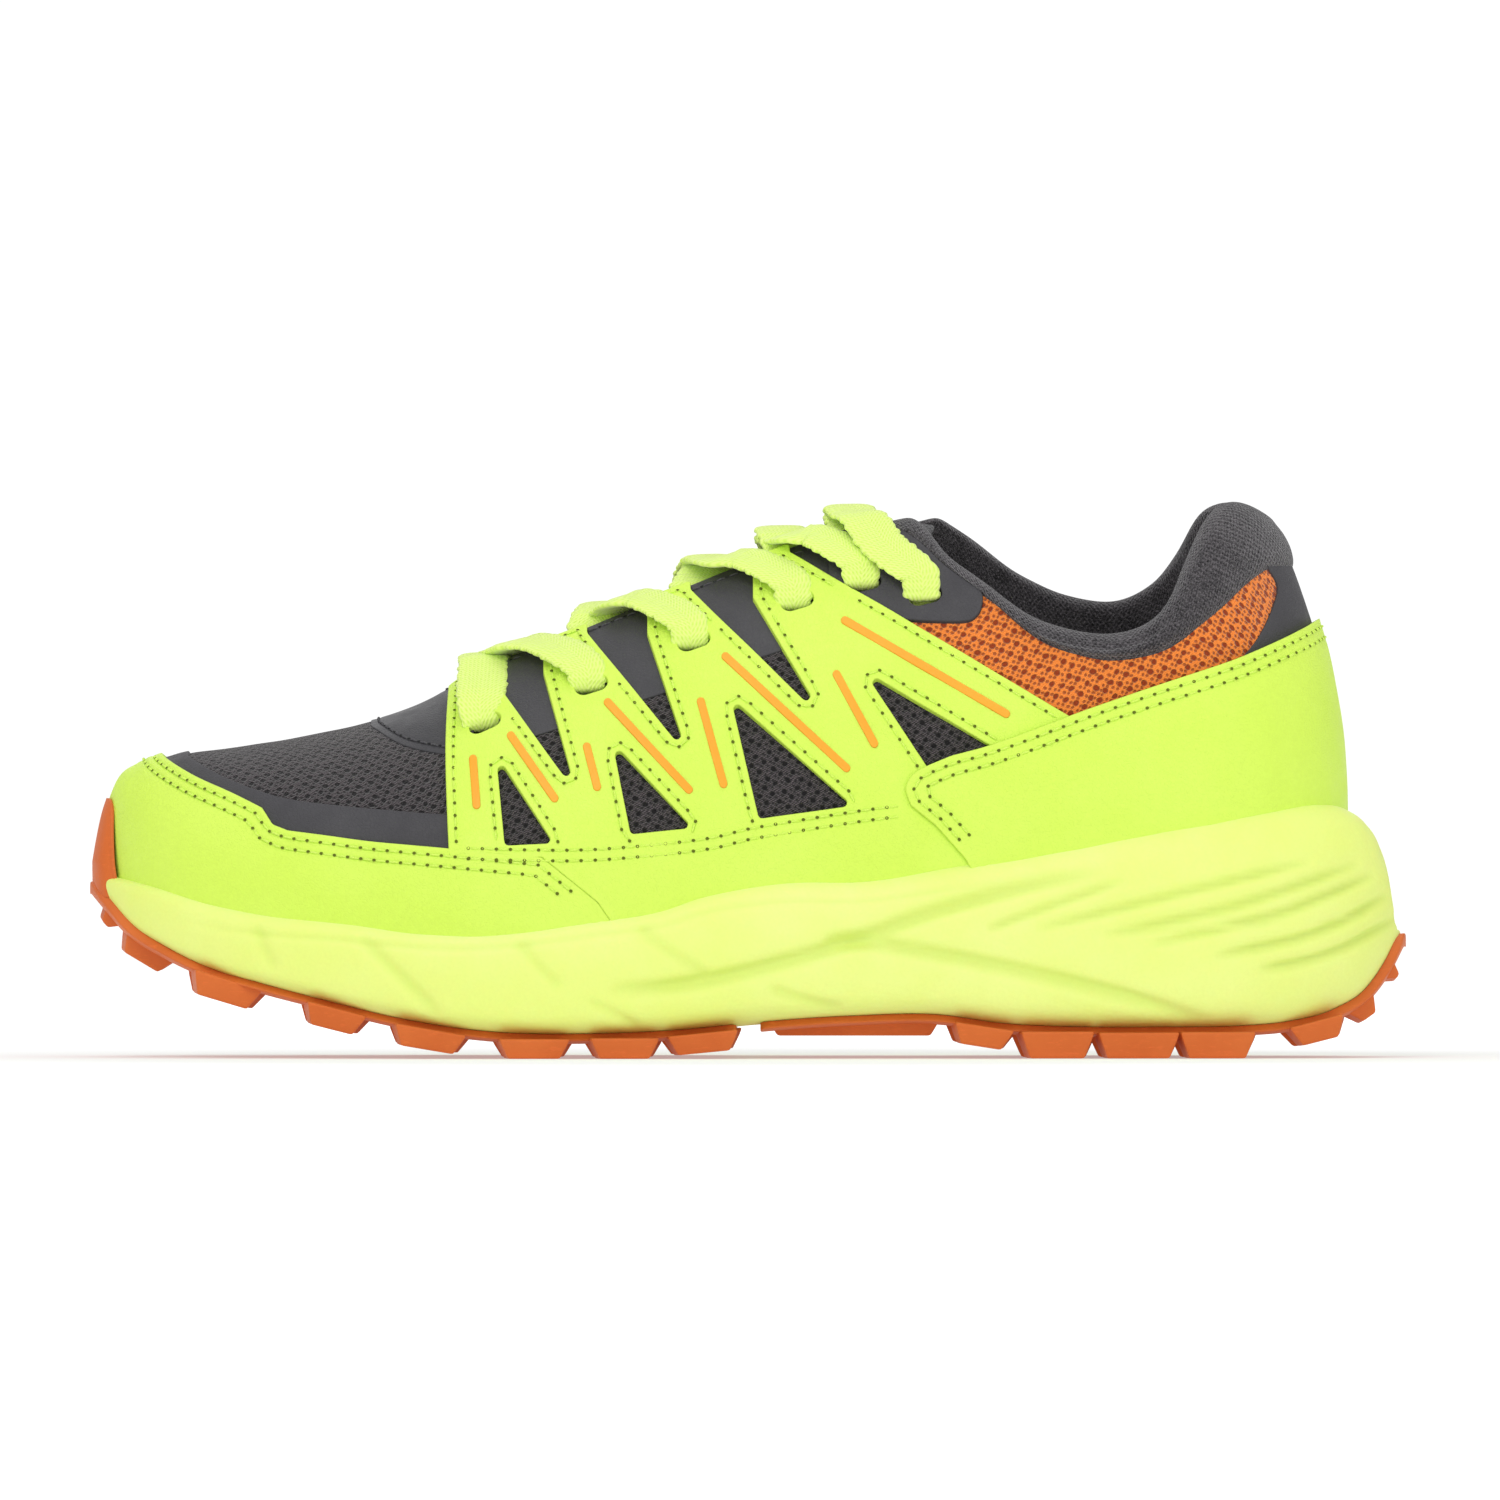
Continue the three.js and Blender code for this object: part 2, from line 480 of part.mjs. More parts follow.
const eyelets = [[-56.4, 71.1], [-33.9, 79.2], [-12.2, 88.5], [9.7, 97], [24, 101.4], [36.8, 98.7]].map(([x, z]) => [x * SX, z * SZ]);

// ---- shared solids
const meshLayer = level(MESH_LEVEL);
const overlayLayer = level(OVERLAY_LEVEL);
const throat = planPrism(throatHalf, THROAT_FROM, 60 * SX);
const SIDES = [["lateral", -1], ["medial", 1]];
const sideRange = (side) => (side < 0 ? [-FAR, 0] : [0, FAR]);

// Under the collar's top line, which is lower on the lateral side; grow raises it.
function underCollar(grow = 0) {
  return sidePrism(outlines.collarLateral, -FAR, 0, grow).add(sidePrism(outlines.collarMedial, 0, FAR, grow));
}

// A point on one side of the upper at a side-view place, and the way its layers are stacked there.
function placeOn(x, z, side) {
  const fall = fallAt(x, z, side);
  const outward = facetPoint(x, fall, 1).sub(facetPoint(x, fall, 0)).normalize();
  return { point: facetPoint(x, fall, 0), outward };
}

function eyeletHoles(side) {
  const holes = eyelets.map(([x, z]) => {
    const { point, outward } = placeOn(x, z, side);
    const g = new THREE.CylinderGeometry(EYELET_DIAMETER / 2, EYELET_DIAMETER / 2, 4 * OVERLAY_LEVEL[1], 12);
    g.applyQuaternion(new THREE.Quaternion().setFromUnitVectors(new THREE.Vector3(0, 1, 0), outward));
    g.translate(...point);
    return solidOf(g);
  });
  return holes.reduce((a, b) => a.add(b));
}

// ---- the pieces
const pieces = new THREE.Group();
const YELLOW = { color: 0xd2ff1e, roughness: 0.6, metalness: 0 };
const CHARCOAL = { color: 0x47454c, roughness: 0.7, metalness: 0 };
const ORANGE = { color: 0xf2721d, roughness: 0.75, metalness: 0 };
const WHITE = { color: 0xe8e6e0, roughness: 0.9, metalness: 0 };

function addPiece(name, solid, look) {
  const mesh = new THREE.Mesh(geometryOf(mainBody(solid)), new THREE.MeshStandardMaterial(look));
  mesh.name = name;
  pieces.add(mesh);
}

// A panel: part of a layer inside a side-view outline, less half a gap all round.
function panel(layer, points, side = 0) {
  const [low, high] = side ? sideRange(side) : [-FAR, FAR];
  return layer.intersect(sidePrism(points, low, high, -GAP / 2));
}

function makeUpper() {
  addPiece("toe_guard", panel(overlayLayer, outlines.toeGuard), YELLOW);
  addPiece("toe_strip", panel(overlayLayer, outlines.toeStrip), CHARCOAL);
  addPiece("heel_foxing", panel(overlayLayer, outlines.foxing), YELLOW);
  const saddlePrism = sidePrism(outlines.saddle, -FAR, FAR, GAP / 2);
  addPiece("vamp_mesh", panel(meshLayer, outlines.vamp).subtract(saddlePrism).subtract(throat), CHARCOAL);
  addPiece("throat_saddle", panel(meshLayer, outlines.saddle).subtract(throat), CHARCOAL);
  addPiece("heel_tab", panel(meshLayer, outlines.heelTab), CHARCOAL);
  for (const [name, side] of SIDES) {
    const holes = eyeletHoles(side);
    const [low, high] = sideRange(side);
    const front = planPrism(() => 8 * SY, -70 * SX, -58 * SX);
    const cut = windows.reduce((a, w) => a.add(sidePrism(w, low, high)), throat).add(holes).add(front);
    addPiece("quarter_mesh_" + name, panel(meshLayer, outlines.quarter, side), CHARCOAL);
    addPiece("eyestay_" + name, panel(meshLayer, outlines.eyestay, side).subtract(throat.add(holes)), CHARCOAL);
    addPiece("top_eyelet_tab_" + name, panel(meshLayer, outlines.topTab, side).subtract(throat.add(holes)), CHARCOAL);
    addPiece("collar_mesh_" + name, panel(meshLayer, outlines.collarMesh, side), ORANGE);
    addPiece("quarter_overlay_" + name, panel(overlayLayer, outlines.quarterOverlay, side).subtract(cut), YELLOW);
  }
}

function makeAccentBars() {
  const layer = level(BAR_LEVEL);
  for (const [name, side] of SIDES)
    bars.forEach(([a, b], i) => {
      const [p, q] = [a, b].map(([x, z]) => new THREE.Vector2(x, z));
      const along = q.clone().sub(p).normalize().multiplyScalar(BAR_WIDTH / 2);
      const across = new THREE.Vector2(-along.y, along.x);
      const corner = (end, s, t) => end.clone().addScaledVector(along, s).addScaledVector(across, t);
      const shape = [
        corner(p, -1, -0.5), corner(p, -1, 0.5), corner(p, -0.5, 1), corner(q, 0.5, 1),
        corner(q, 1, 0.5), corner(q, 1, -0.5), corner(q, 0.5, -1), corner(p, -0.5, -1),
      ];
      const ordered = THREE.ShapeUtils.isClockWise(shape) ? shape.reverse() : shape;
      addPiece(`accent_bar_${name}_${i + 1}`, panel(layer, ordered, side), ORANGE);
    });
}

function makeStiffenersAndLinings() {
  const stiffeners = level(STIFFENER_LEVEL);
  addPiece("toe_puff", panel(stiffeners, outlines.toePuff), WHITE);
  addPiece("heel_counter", panel(stiffeners, outlines.counter), WHITE);
  const lining = level(LINING_LEVEL);
  const puffCut = sidePrism(outlines.toePuff, -FAR, FAR, GAP / 2);
  const puffRoom = level([STIFFENER_LEVEL[0] - GAP, 0], GAP).intersect(puffCut);
  addPiece("vamp_lining", panel(lining, outlines.vamp).subtract(puffRoom).subtract(throat), CHARCOAL);
  for (const [name, side] of SIDES)
    addPiece("quarter_lining_" + name, panel(lining, outlines.quarterLining, side).subtract(throat), CHARCOAL);
}

// The collar padding, grown by a clearance for what wraps round it.
function collarPadding(grow) {
  const depth = level([-MESH - GAP - COLLAR_FOAM - grow, grow ? -MESH - GAP + grow : -MESH - GAP]);
  return depth
    .intersect(sidePrism(outlines.foam, -FAR, FAR, grow))
    .intersect(underCollar(grow - LINING - GAP));
}

function makeCollar() {
  addPiece("collar_foam", collarPadding(0), WHITE);
  const room = arch(LINING_FACE, CUT_PAST).subtract(collarPadding(GAP + LINING));
  const low = arch(STIFFENER_LEVEL[0] - GAP).intersect(sidePrism(outlines.rearLining, -FAR, FAR, -GAP / 2));
  const high = arch(0)
    .intersect(sidePrism(outlines.band, -FAR, FAR, -GAP / 2));
  const wrap = low.add(high).intersect(underCollar()).subtract(collarPadding(GAP)).subtract(room).subtract(throat);
  addPiece("collar_lining", wrap, CHARCOAL);
}

function makeTongue() {
  const strip = planPrism(tongueHalf, TONGUE_FROM, TONGUE_TO);
  const face = TONGUE_TOP - MESH;
  const foam = face - GAP - TONGUE_FOAM;
  addPiece("tongue_face", level([face, TONGUE_TOP]).intersect(strip), CHARCOAL);
  addPiece("tongue_foam", level([foam, face - GAP]).intersect(strip), WHITE);
  addPiece("tongue_lining", level([foam - GAP - LINING, foam - GAP]).intersect(strip), CHARCOAL);
}

function makeFootbed() {
  const edge = LINING_FACE - GAP;
  addPiece("strobel_board", footSlab(edge, 0, BOARD), WHITE);
  addPiece("sockliner", footSlab(edge - 4 * GAP, BOARD + GAP, BOARD + GAP + SOCKLINER), CHARCOAL);
}

// ---- the sole
// A tread lug: a tapered block on the sole's underside at x, y. A flat lug stands on the ground.
function lug({ x, y, length, width, turn = 0, height = 0 }) {
  const flat = !height;
  const slope = flat ? 0 : Math.atan((sole.bottom(x + 1) - sole.bottom(x - 1)) / 2);
  const down = flat ? sole.bottom(x) : height + OUTSOLE + GAP;
  const along = new THREE.Vector3(Math.cos(slope), 0, Math.sin(slope));
  const normal = new THREE.Vector3(Math.sin(slope), 0, -Math.cos(slope));
  const yaw = THREE.MathUtils.degToRad(turn);
  const t = along.clone().multiplyScalar(Math.cos(yaw)).add(new THREE.Vector3(0, Math.sin(yaw), 0));
  const s = along.clone().multiplyScalar(-Math.sin(yaw)).add(new THREE.Vector3(0, Math.cos(yaw), 0));
  const root = new THREE.Vector3(x, y, sole.bottom(x));
  const ring = (depth, taper) =>
    [[-1, -1], [1, -1], [1, 1], [-1, 1]].map(([a, b]) =>
      root
        .clone()
        .addScaledVector(normal, depth)
        .addScaledVector(t, a * (length / 2 - taper))
        .addScaledVector(s, b * (width / 2 - taper))
        .toArray(),
    );
  return loft([ring(LUG_ROOT, 0), ring(down, LUG_TAPER)], true);
}
const LUG_ROOT = GAP + OUTSOLE * 0.35; // where a lug starts inside the rubber sheet
const LUG_TAPER = 1.6;

// Rows of lugs from toe to heel: x, length along the shoe, height (0 reaches the ground).
const foreRows = [
  [-133.5, 7, 2.2], [-125.5, 8, 3], [-113, 11, 3.2], [-89, 12, 3], [-68, 13, 2.4], [-45.5, 13, 0], [-26.6, 13, 0], [-10.5, 12, 2.6],
];
const heelRows = [[49.4, 10, 2.6], [65.3, 13, 0], [82.3, 14, 0], [98.8, 14, 0], [117, 10, 3], [127.5, 7, 2.6], [134.2, 5.5, 2.2]];

function lugRow([drawnX, length, height]) {
  const x = drawnX * SX;
  const wide = wideAt(sole, x);
  const centre = sole.centre(x);
  const [lat, med] = [sole.lateral(x) * wide, sole.medial(x) * wide];
  const at = (y, width, turn) => lug({ x, y: centre + y, length, width, turn, height: height * SZ });
  if (Math.min(lat, med) < 27) return [at(-lat * 0.4, 9, 8), at(med * 0.4, 9, -8)];
  return [at(-lat * 0.72, 13, 6), at(0, 15, 0), at(med * 0.72, 13, -6)];
}

function makeSole() {
  const inside = soleBody(0);
  const seat = arch(OVERLAY_LEVEL[1] + GAP, GAP);
  addPiece("midsole", inside.subtract(seat), YELLOW);
  const clear = soleBody(GAP);
  const sheet = soleBody(GAP + OUTSOLE).subtract(clear);
  const xs = Array.from({ length: 23 }, (_, i) => -141 * Math.cos((Math.PI * i) / 22));
  const edge = xs.map((x) => [x, sole.bottom(x * SX) / SZ + 1.1]);
  const rubber = sheet.intersect(sidePrism(outline([[-150, LOW], [-150, 38]], [[-150, 38], edge[0]], edge, [edge[22], [150, 26]], [[150, 26], [150, LOW]])));
  const treads = (rows) => rows.flatMap(lugRow).reduce((a, b) => a.add(b));
  const cutAt = (x0, x1) => sidePrism(outline([[x0, LOW], [x0, TOP]], [[x1, TOP], [x1, LOW]]));
  const bumperZone = sidePrism(outline([[-150, 34], [-150, 53]], [[-150, 53], [-131, 53]], [[-131, 53], [-131, 34]]), -10 * SY, 28 * SY);
  const bumper = arch(OVERLAY_LEVEL[1] + GAP + 2.6, 3).subtract(arch(OVERLAY_LEVEL[1] + GAP, CUT_PAST)).subtract(clear).intersect(bumperZone);
  addPiece("outsole_forefoot", rubber.intersect(cutAt(-150, -2.4)).add(treads(foreRows)).add(bumper), ORANGE);
  const plate = lug({ x: 20 * SX, y: sole.centre(0), length: 32, width: 50 * SY, height: 2 * SZ });
  addPiece("outsole_heel", rubber.intersect(cutAt(2.7, 150)).add(treads(heelRows)).add(plate), ORANGE);
}

// ---- the lace
// A stop on the lace's way: a place on the arch, how far off the reference surface, and half the section's
// width and thickness there.
const stop = (x, fall, offset, [wide, thick]) => ({ x, fall, offset, wide, thick });
const FLAT = [LACE_WIDTH / 2, LACE_THICKNESS / 2];
const BUNCHED = [EYELET_DIAMETER * 0.29, LACE_THICKNESS * 0.6];

// The fall at which the arch is y from the centre line on one side.
function fallAcross(x, y, side) {
  const half = side < 0 ? upper.lateral(x) : upper.medial(x);
  return side * (90 - THREE.MathUtils.radToDeg(Math.acos((y / half) ** (upper.fullness(x) / 2))));
}

// Half the lace: across to its first eyelet, then from eyelet to eyelet, in from outside, under the flap,
// across the tongue and over the other flap.
function laceStops(firstSide) {
  const level = firstSide < 0 ? LACE_LOW : LACE_HIGH;
  const CROSS = 8.8 * SY; // strands lie on top of each other up to here
  const INSIDE = 2; // how far off the flap's edge the lace climbs
  const acrossTo = (x, y, side, offset) => stop(x, fallAcross(x, y, side), offset, FLAT);
  const stops = [];
  let side = firstSide;
  const firstX = eyelets[0][0];
  stops.push(stop(firstX, 0, LACE_OVER, FLAT));
  stops.push(acrossTo(firstX, throatHalf(firstX), side, LACE_OVER));
  eyelets.forEach(([x, z], i) => {
    const fall = fallAt(x, z, side);
    stops.push(stop(x, fall - side * 6, LACE_OVER, FLAT));
    stops.push(stop(x, fall - side * 2.4, LACE_OVER + 0.6, BUNCHED));
    stops.push(stop(x, fall, GAP, BUNCHED));
    stops.push(stop(x, fall - side * 1, LACE_UNDER, BUNCHED));
    if (i === eyelets.length - 1) return;
    const step = eyelets[i + 1][0] - x;
    const at = (share) => x + share * step;
    stops.push(stop(at(0.04), fall - side * 6, LACE_UNDER, FLAT));
    stops.push(acrossTo(at(0.14), throatHalf(x) - INSIDE, side, LACE_UNDER));
    stops.push(acrossTo(at(0.24), CROSS, side, level));
    stops.push(stop(at(0.42), 0, level, FLAT));
    side = -side;
    stops.push(acrossTo(at(0.6), CROSS, side, level));
    stops.push(acrossTo(at(0.7), throatHalf(x) - INSIDE, side, LACE_OVER));
  });
  return { stops, side };
}

const TAIL = [[35, 90], [31, 81], [24, 72], [13, 64], [-2, 58.6], [-14, 56]]; // side-view places inside the wall
const TAIL_LEVEL = LINING_FACE - GAP - AGLET_DIAMETER * 0.62;

// The stops with more where the way crosses an edge between two rows of facets.
function followFacets(stops) {
  const edges = [...ROWS, ...ROWS.slice(1).map((r) => -r)];
  return stops.flatMap((s, i) => {
    const next = stops[i + 1];
    if (!next) return [s];
    const between = (r) => (r - s.fall) * (next.fall - r) > 0 && Math.min(Math.abs(r - s.fall), Math.abs(r - next.fall)) > 0.4;
    const crossed = edges.filter(between).sort((a, b) => (a - b) * Math.sign(next.fall - s.fall));
    const mix = (key, t) => s[key] + (next[key] - s[key]) * t;
    return [s, ...crossed.map((fall) => {
      const t = (fall - s.fall) / (next.fall - s.fall);
      return stop(mix("x", t), fall, mix("offset", t), [mix("wide", t), mix("thick", t)]);
    })];
  });
}

// A ribbon along the stops, flat on the arch.
function ribbon(places) {
  const stops = followFacets(places);
  const at = (s, dx = 0) => facetPoint(s.x + dx, s.fall, s.offset);
  const points = stops.map((s) => at(s));
  const rings = stops.map((s, i) => {
    const before = points[Math.max(i - 1, 0)];
    const after = points[Math.min(i + 1, points.length - 1)];
    const tangent = after.clone().sub(before).normalize();
    const along = at(s, 1).sub(at(s, -1));
    const wide = along.addScaledVector(tangent, -along.dot(tangent)).normalize();
    const thick = new THREE.Vector3().crossVectors(tangent, wide);
    return [[1, 1], [-1, 1], [-1, -1], [1, -1]].map(([a, b]) =>
      points[i].clone().addScaledVector(wide, a * s.wide).addScaledVector(thick, b * s.thick).toArray(),
    );
  });
  return loft(rings, true);
}

function laceHalf(firstSide) {
  const { stops, side } = laceStops(firstSide);
  const section = [LACE_WIDTH * 0.3, LACE_THICKNESS / 2];
  for (const [x, z] of TAIL)
    stops.push(stop(x * SX, fallAt(x * SX, z * SZ, side), TAIL_LEVEL, section));
  return { solid: ribbon(stops), ends: stops.slice(-2), side };
}

function makeLace() {
  const halves = [laceHalf(-1), laceHalf(1)];
  addPiece("lace", halves[0].solid.add(halves[1].solid), YELLOW);
  for (const { ends, side } of halves) {
    const [before, end] = ends.map((s) => facetPoint(s.x, s.fall, s.offset));
    const way = end.clone().sub(before).normalize();
    const g = new THREE.CylinderGeometry(AGLET_DIAMETER / 2, AGLET_DIAMETER / 2, AGLET_LENGTH, 10);
    g.applyQuaternion(new THREE.Quaternion().setFromUnitVectors(new THREE.Vector3(0, 1, 0), way));
    g.translate(...end.clone().addScaledVector(way, AGLET_LENGTH / 2 + GAP));
    addPiece(side < 0 ? "aglet_lateral" : "aglet_medial", solidOf(g), WHITE);
  }
}

makeSole();
makeFootbed();
makeStiffenersAndLinings();
makeUpper();
makeAccentBars();
makeCollar();
makeTongue();
makeLace();

// The shoe stands centred on the origin.
const bounds = new THREE.Box3().setFromObject(pieces);
pieces.position.y = -(bounds.min.y + bounds.max.y) / 2;

export default pieces;
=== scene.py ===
"""Looks of a left trail running shoe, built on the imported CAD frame. Lengths below are in millimetres.

The upper is a stack of thin panels over one arched surface. Each panel is a fine grid on that surface,
trimmed by the signed distance to its outline, with a rounded cut edge and sewn rows that follow the edge.
"""

import bmesh
import bpy
import numpy as np
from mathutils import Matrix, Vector


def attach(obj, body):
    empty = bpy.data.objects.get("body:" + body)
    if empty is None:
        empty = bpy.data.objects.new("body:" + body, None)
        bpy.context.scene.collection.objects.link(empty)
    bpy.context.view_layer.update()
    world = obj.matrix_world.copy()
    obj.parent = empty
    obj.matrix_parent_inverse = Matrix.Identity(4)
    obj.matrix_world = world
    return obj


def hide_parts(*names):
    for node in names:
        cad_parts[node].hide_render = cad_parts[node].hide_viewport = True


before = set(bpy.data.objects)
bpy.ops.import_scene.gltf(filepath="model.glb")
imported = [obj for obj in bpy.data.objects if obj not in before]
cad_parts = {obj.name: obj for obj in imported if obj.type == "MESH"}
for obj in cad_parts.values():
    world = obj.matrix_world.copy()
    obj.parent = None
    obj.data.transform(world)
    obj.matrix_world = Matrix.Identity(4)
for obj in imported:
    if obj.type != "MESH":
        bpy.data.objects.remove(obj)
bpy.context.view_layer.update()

MM = 0.001
SHIFT_Y = -0.655  # the CAD model is centred sideways by this much

# ---------------------------------------------------------------- curves


def profile(points):
    """A smooth y(x) through the points, flat past both ends."""
    p = np.array(points, float)
    x, y = p[:, 0], p[:, 1]
    secant = np.diff(y) / np.diff(x)
    slope = np.empty(len(x))
    slope[0], slope[-1] = secant[0], secant[-1]
    w = np.diff(x)
    slope[1:-1] = (secant[:-1] * w[1:] + secant[1:] * w[:-1]) / (w[1:] + w[:-1])

    def at(q):
        q = np.clip(np.asarray(q, float), x[0], x[-1])
        i = np.clip(np.searchsorted(x, q) - 1, 0, len(x) - 2)
        t = (q - x[i]) / w[i]
        s = 1 - t
        ends = y[i] * (1 + 2 * t) * s * s + y[i + 1] * (1 + 2 * s) * t * t
        return ends + w[i] * t * s * (slope[i] * s - slope[i + 1] * t)

    return at


def ramp(value, start, run):
    """0 at start, 1 a run further on, and flat past both."""
    return np.clip((value - start) / run, 0, 1)


def bell(value):
    return np.exp(-(value ** 2))


def full(value, power):
    """A cosine or sine drawn fuller, for rounded boxes; it keeps its sign."""
    return np.sign(value) * np.abs(value) ** power


def smooth_line(points, per=8):
    """Points on a uniform Catmull-Rom curve through the given ones."""
    p = np.array(points, float)
    if len(p) < 3:
        return p
    q = np.vstack([p[:1], p, p[-1:]])
    rows = []
    for i in range(len(p) - 1):
        a, b, c, d = q[i : i + 4]
        for t in np.arange(per) / per:
            v0, v1 = (c - a) / 2, (d - b) / 2
            rows.append((2 * b - 2 * c + v0 + v1) * t**3 + (-3 * b + 3 * c - 2 * v0 - v1) * t**2 + v0 * t + b)
    rows.append(p[-1])
    return np.array(rows)


def outline(*parts):
    """A closed outline of corners (x, z) and, where a part is a list of points, smooth curves."""
    p = np.vstack([smooth_line(part) if isinstance(part, list) else [part] for part in parts])
    keep = np.linalg.norm(p - np.roll(p, 1, 0), axis=1) > 0.01
    return p[keep]


def signed_distance(px, pz, polygon):
    """Distance to a polygon's edge, negative inside."""
    best = np.full(px.shape, 1e12)
    inside = np.zeros(px.shape, bool)
    for (ax, az), (bx, bz) in zip(polygon, np.roll(polygon, -1, 0)):
        ex, ez = bx - ax, bz - az
        t = np.clip(((px - ax) * ex + (pz - az) * ez) / (ex * ex + ez * ez), 0, 1)
        best = np.minimum(best, (px - ax - ex * t) ** 2 + (pz - az - ez * t) ** 2)
        if ez:
            inside ^= ((az > pz) != (bz > pz)) & (px < ax + (pz - az) * ex / ez)
    return np.where(inside, -1, 1) * np.sqrt(best)


def rounded_distance(px, pz, corners, radius):
    """Signed distance to a convex outline whose corners are rounded off."""
    p = np.array(corners, float)
    way = np.roll(p, -1, 0) - p
    way /= np.linalg.norm(way, axis=1, keepdims=True)
    turn = np.sign(np.cross(way[0], way[1]))
    pulled = []
    for i in range(len(p)):
        a, b = way[i - 1], way[i]
        na, nb = np.array([-a[1], a[0]]) * turn * radius, np.array([-b[1], b[0]]) * turn * radius
        t = np.cross(p[i] + nb - p[i] - na, b) / np.cross(a, b)
        pulled.append(p[i] + na + a * t)
    return signed_distance(px, pz, np.array(pulled)) - radius


def line_distance(px, pz, line):
    """Distance to an open polyline, and how far along it the nearest point is, from 0 to 1."""
    best = np.full(px.shape, 1e12)
    along = np.zeros(px.shape)
    n = len(line) - 1
    for i in range(n):
        (ax, az), (bx, bz) = line[i], line[i + 1]
        ex, ez = bx - ax, bz - az
        t = np.clip(((px - ax) * ex + (pz - az) * ez) / (ex * ex + ez * ez), 0, 1)
        d = (px - ax - ex * t) ** 2 + (pz - az - ez * t) ** 2
        along = np.where(d < best, (i + t) / n, along)
        best = np.minimum(best, d)
    return np.sqrt(best), along


# ---------------------------------------------------------------- the upper's arched surface

TOE_X, HEEL_X = -134.4, 125.0
TOE_ROUND, HEEL_ROUND = 46.0, 34.0
END_SHAPE = 0.9
centre = profile([[-135, 9.5], [-100, 6.5], [-60, 2.5], [-30, 1.5], [126, 1.5]])
half_lateral = profile([
    [-135, 41], [-100, 41.5], [-60, 46.5], [-35, 47], [10, 40.5], [60, 35.5], [95, 34],
    [126, 33]])
half_medial = profile([
    [-135, 36], [-100, 37], [-62, 43.5], [-35, 42.5], [10, 35], [60, 33.5], [95, 33.5],
    [126, 32]])
base_z = profile([
    [-135, 34.8], [-126, 32.2], [-116, 29.5], [-95, 26.3], [-74, 24.8], [-52, 24.4], [-31, 25.3], [-10, 27],
    [11, 29.1], [32, 31.6], [54, 34], [75, 36.1], [96, 37.4], [126, 38]])
ridge_z = profile([
    [-134.6, 52.5], [-132.8, 57], [-128.5, 61], [-121.5, 63.7], [-106, 66.2], [-91, 68.8], [-74, 73.2],
    [-65, 77.2], [-57, 83], [-48, 88.2], [-40, 92], [-27, 97.6], [-12, 104.4], [6, 112], [20, 116.3],
    [33, 119], [42, 121.2], [54, 126], [75, 136], [96, 143], [126, 146]])
fullness = profile([[-135, 2.4], [-100, 2.4], [-60, 2.05], [0, 1.9], [50, 2], [126, 2.2]])
throat_half = profile([[-63, 3], [-60, 8.5], [-50, 12.6], [-20, 13.6], [11, 13], [33, 12.4], [60, 12.4]])
tongue_half = profile([[-60, 5], [-56, 11], [-46, 16], [-20, 18.5], [20, 19], [34, 18.5], [41, 13]])
THROAT_FROM = -62.4
LEAN_FROM, LEAN_FOOT, LEAN_MOST = 50, 54.5, 11.5  # where the heel's lean starts along and up the shoe


def lean_share(x):
    """How much of the heel's forward lean a station takes, from 0 at the ankle to 1 at the heel tip."""
    return np.clip((x - LEAN_FROM) / (HEEL_X - LEAN_FROM), 0, None) ** 1.5


def lean(z, share):
    """How far forward the heel wall stands at a height."""
    return LEAN_MOST * (np.clip(z - LEAN_FOOT, 0, None) / 54) ** 2 * share


class Plan:
    """Stations u along a body with rounded ends, in millimetres from the toe tip to the heel tip."""

    def __init__(self, toe_x, heel_x, toe_round, heel_round):
        self.toe_x, self.toe_round, self.heel_round = toe_x, toe_round, heel_round
        self.toe_turn = toe_round * np.pi / 2
        self.middle = heel_x - heel_round - toe_x - toe_round
        self.length = self.toe_turn + self.middle + heel_round * np.pi / 2

    def station(self, u):
        """The place x of a station, its share of the full width, and how far it faces the heel or the toe."""
        a = np.clip(u / self.toe_round, 0, np.pi / 2)
        b = np.clip((self.length - u) / self.heel_round, 0, np.pi / 2)
        x = self.toe_x + self.toe_round * (1 - np.cos(a)) + np.clip(u - self.toe_turn, 0, self.middle)
        x = x + self.heel_round * np.cos(b)
        wide = np.maximum(np.sin(a), 1e-9) ** END_SHAPE * np.maximum(np.sin(b), 1e-9) ** END_SHAPE
        return x, wide, np.cos(b) - np.cos(a)


